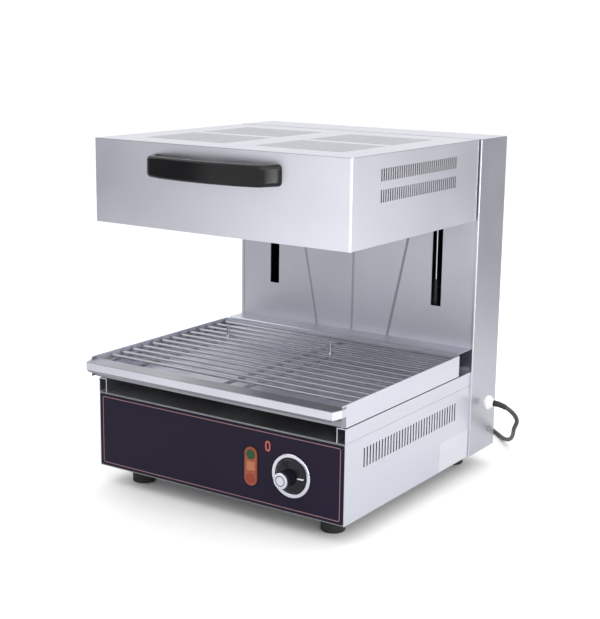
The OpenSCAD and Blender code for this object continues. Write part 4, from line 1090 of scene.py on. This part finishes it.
class LIFTGRILL_OT_studio(bpy.types.Operator):
    """Builds the pale floor, the surroundings and the lights"""

    bl_idname = "liftgrill.studio"
    bl_label = "Studio"

    def execute(self, context):
        settings = context.scene.liftgrill_studio
        corners = [(x * FLOOR_HALF, y * FLOOR_HALF, FLOOR_Z) for x, y in ((-1, -1), (1, -1), (1, 1), (-1, 1))]
        mesh = mesh_from("floor", corners, [(0, 1, 2, 3)], False)
        floor = bpy.data.objects.new("floor", mesh)
        context.scene.collection.objects.link(floor)
        mesh.materials.append(self.floor_paint(settings))
        self.surroundings(context, settings)
        for light, power in zip(LIGHTS, (settings.key_power, settings.fill_power, STRIP_POWER, TOP_POWER)):
            self.light(context, power, *light)
        context.scene.view_settings.view_transform = "Standard"
        return {"FINISHED"}

    def floor_paint(self, settings):
        """Pale floor, which the sheet mirrors with soft shade."""
        material = bpy.data.materials.new("Pale floor")
        material.use_nodes = True
        tree = material.node_tree
        shader = tree.nodes["Principled BSDF"]
        shader.inputs["Roughness"].default_value = 0.6
        place = tree.nodes.new("ShaderNodeTexCoord").outputs["Object"]
        tone = studio_tone(tree, place, vector_node(tree, "LENGTH", place)["Value"])
        feed(tree, shader.inputs["Base Color"], colour_mix(tree, tone, UNLIT, (*settings.floor_colour, 1)))
        return material

    def surroundings(self, context, settings):
        """A pale room, uneven in the mirror, so that the sheet has something to show."""
        world = bpy.data.worlds.new("Surroundings")
        world.use_nodes = True
        tree = world.node_tree
        background = tree.nodes["Background"]
        tone = studio_tone(tree, tree.nodes.new("ShaderNodeTexCoord").outputs["Generated"])
        feed(tree, background.inputs["Color"], colour_mix(tree, tone, UNLIT, (1.0, 1.0, 1.0, 1)))
        background.inputs["Strength"].default_value = settings.sky
        context.scene.world = world

    def light(self, context, power, name, place, target, width, height):
        data = bpy.data.lights.new(name, "AREA")
        data.shape, data.size, data.size_y, data.energy = "RECTANGLE", width, height, power
        lamp = bpy.data.objects.new(name, data)
        lamp.location = place
        lamp.rotation_euler = (Vector(target) - Vector(place)).to_track_quat("-Z", "Y").to_euler()
        context.scene.collection.objects.link(lamp)


class LIFTGRILL_PT_looks(bpy.types.Panel):
    """Lists the steps that dress the lift grill"""

    bl_idname = "LIFTGRILL_PT_looks"
    bl_label = "Lift grill"
    bl_space_type = "VIEW_3D"
    bl_region_type = "UI"
    bl_category = "Lift grill"

    def draw(self, context):
        for step in STEPS:
            self.layout.operator(step.bl_idname)


STEPS = (LIFTGRILL_OT_camera, LIFTGRILL_OT_finishes, LIFTGRILL_OT_lead, LIFTGRILL_OT_handle,
         LIFTGRILL_OT_panel_print, LIFTGRILL_OT_dial_mark, LIFTGRILL_OT_repeats, LIFTGRILL_OT_rating_plate,
         LIFTGRILL_OT_studio)
SETTINGS = {"steel": SteelSettings, "lead": LeadSettings, "handle": HandleSettings,
            "panel": PanelSettings, "grid": GridSettings, "studio": StudioSettings}


def register():
    for group in SETTINGS.values():
        bpy.utils.register_class(group)
    for name, group in SETTINGS.items():
        setattr(bpy.types.Scene, "liftgrill_" + name, PointerProperty(type=group))
    for step in (*STEPS, LIFTGRILL_PT_looks):
        bpy.utils.register_class(step)


def unregister():
    for step in (LIFTGRILL_PT_looks, *reversed(STEPS)):
        bpy.utils.unregister_class(step)
    for name, group in reversed(SETTINGS.items()):
        delattr(bpy.types.Scene, "liftgrill_" + name)
        bpy.utils.unregister_class(group)


def main():
    register()
    bpy.ops.liftgrill.camera()
    bpy.ops.liftgrill.finishes()
    bpy.ops.liftgrill.lead()
    bpy.ops.liftgrill.handle()
    bpy.ops.liftgrill.panel_print()
    bpy.ops.liftgrill.dial_mark()
    bpy.ops.liftgrill.repeats()
    bpy.ops.liftgrill.rating_plate()
    bpy.ops.liftgrill.studio()


if __name__ == "__main__":
    main()
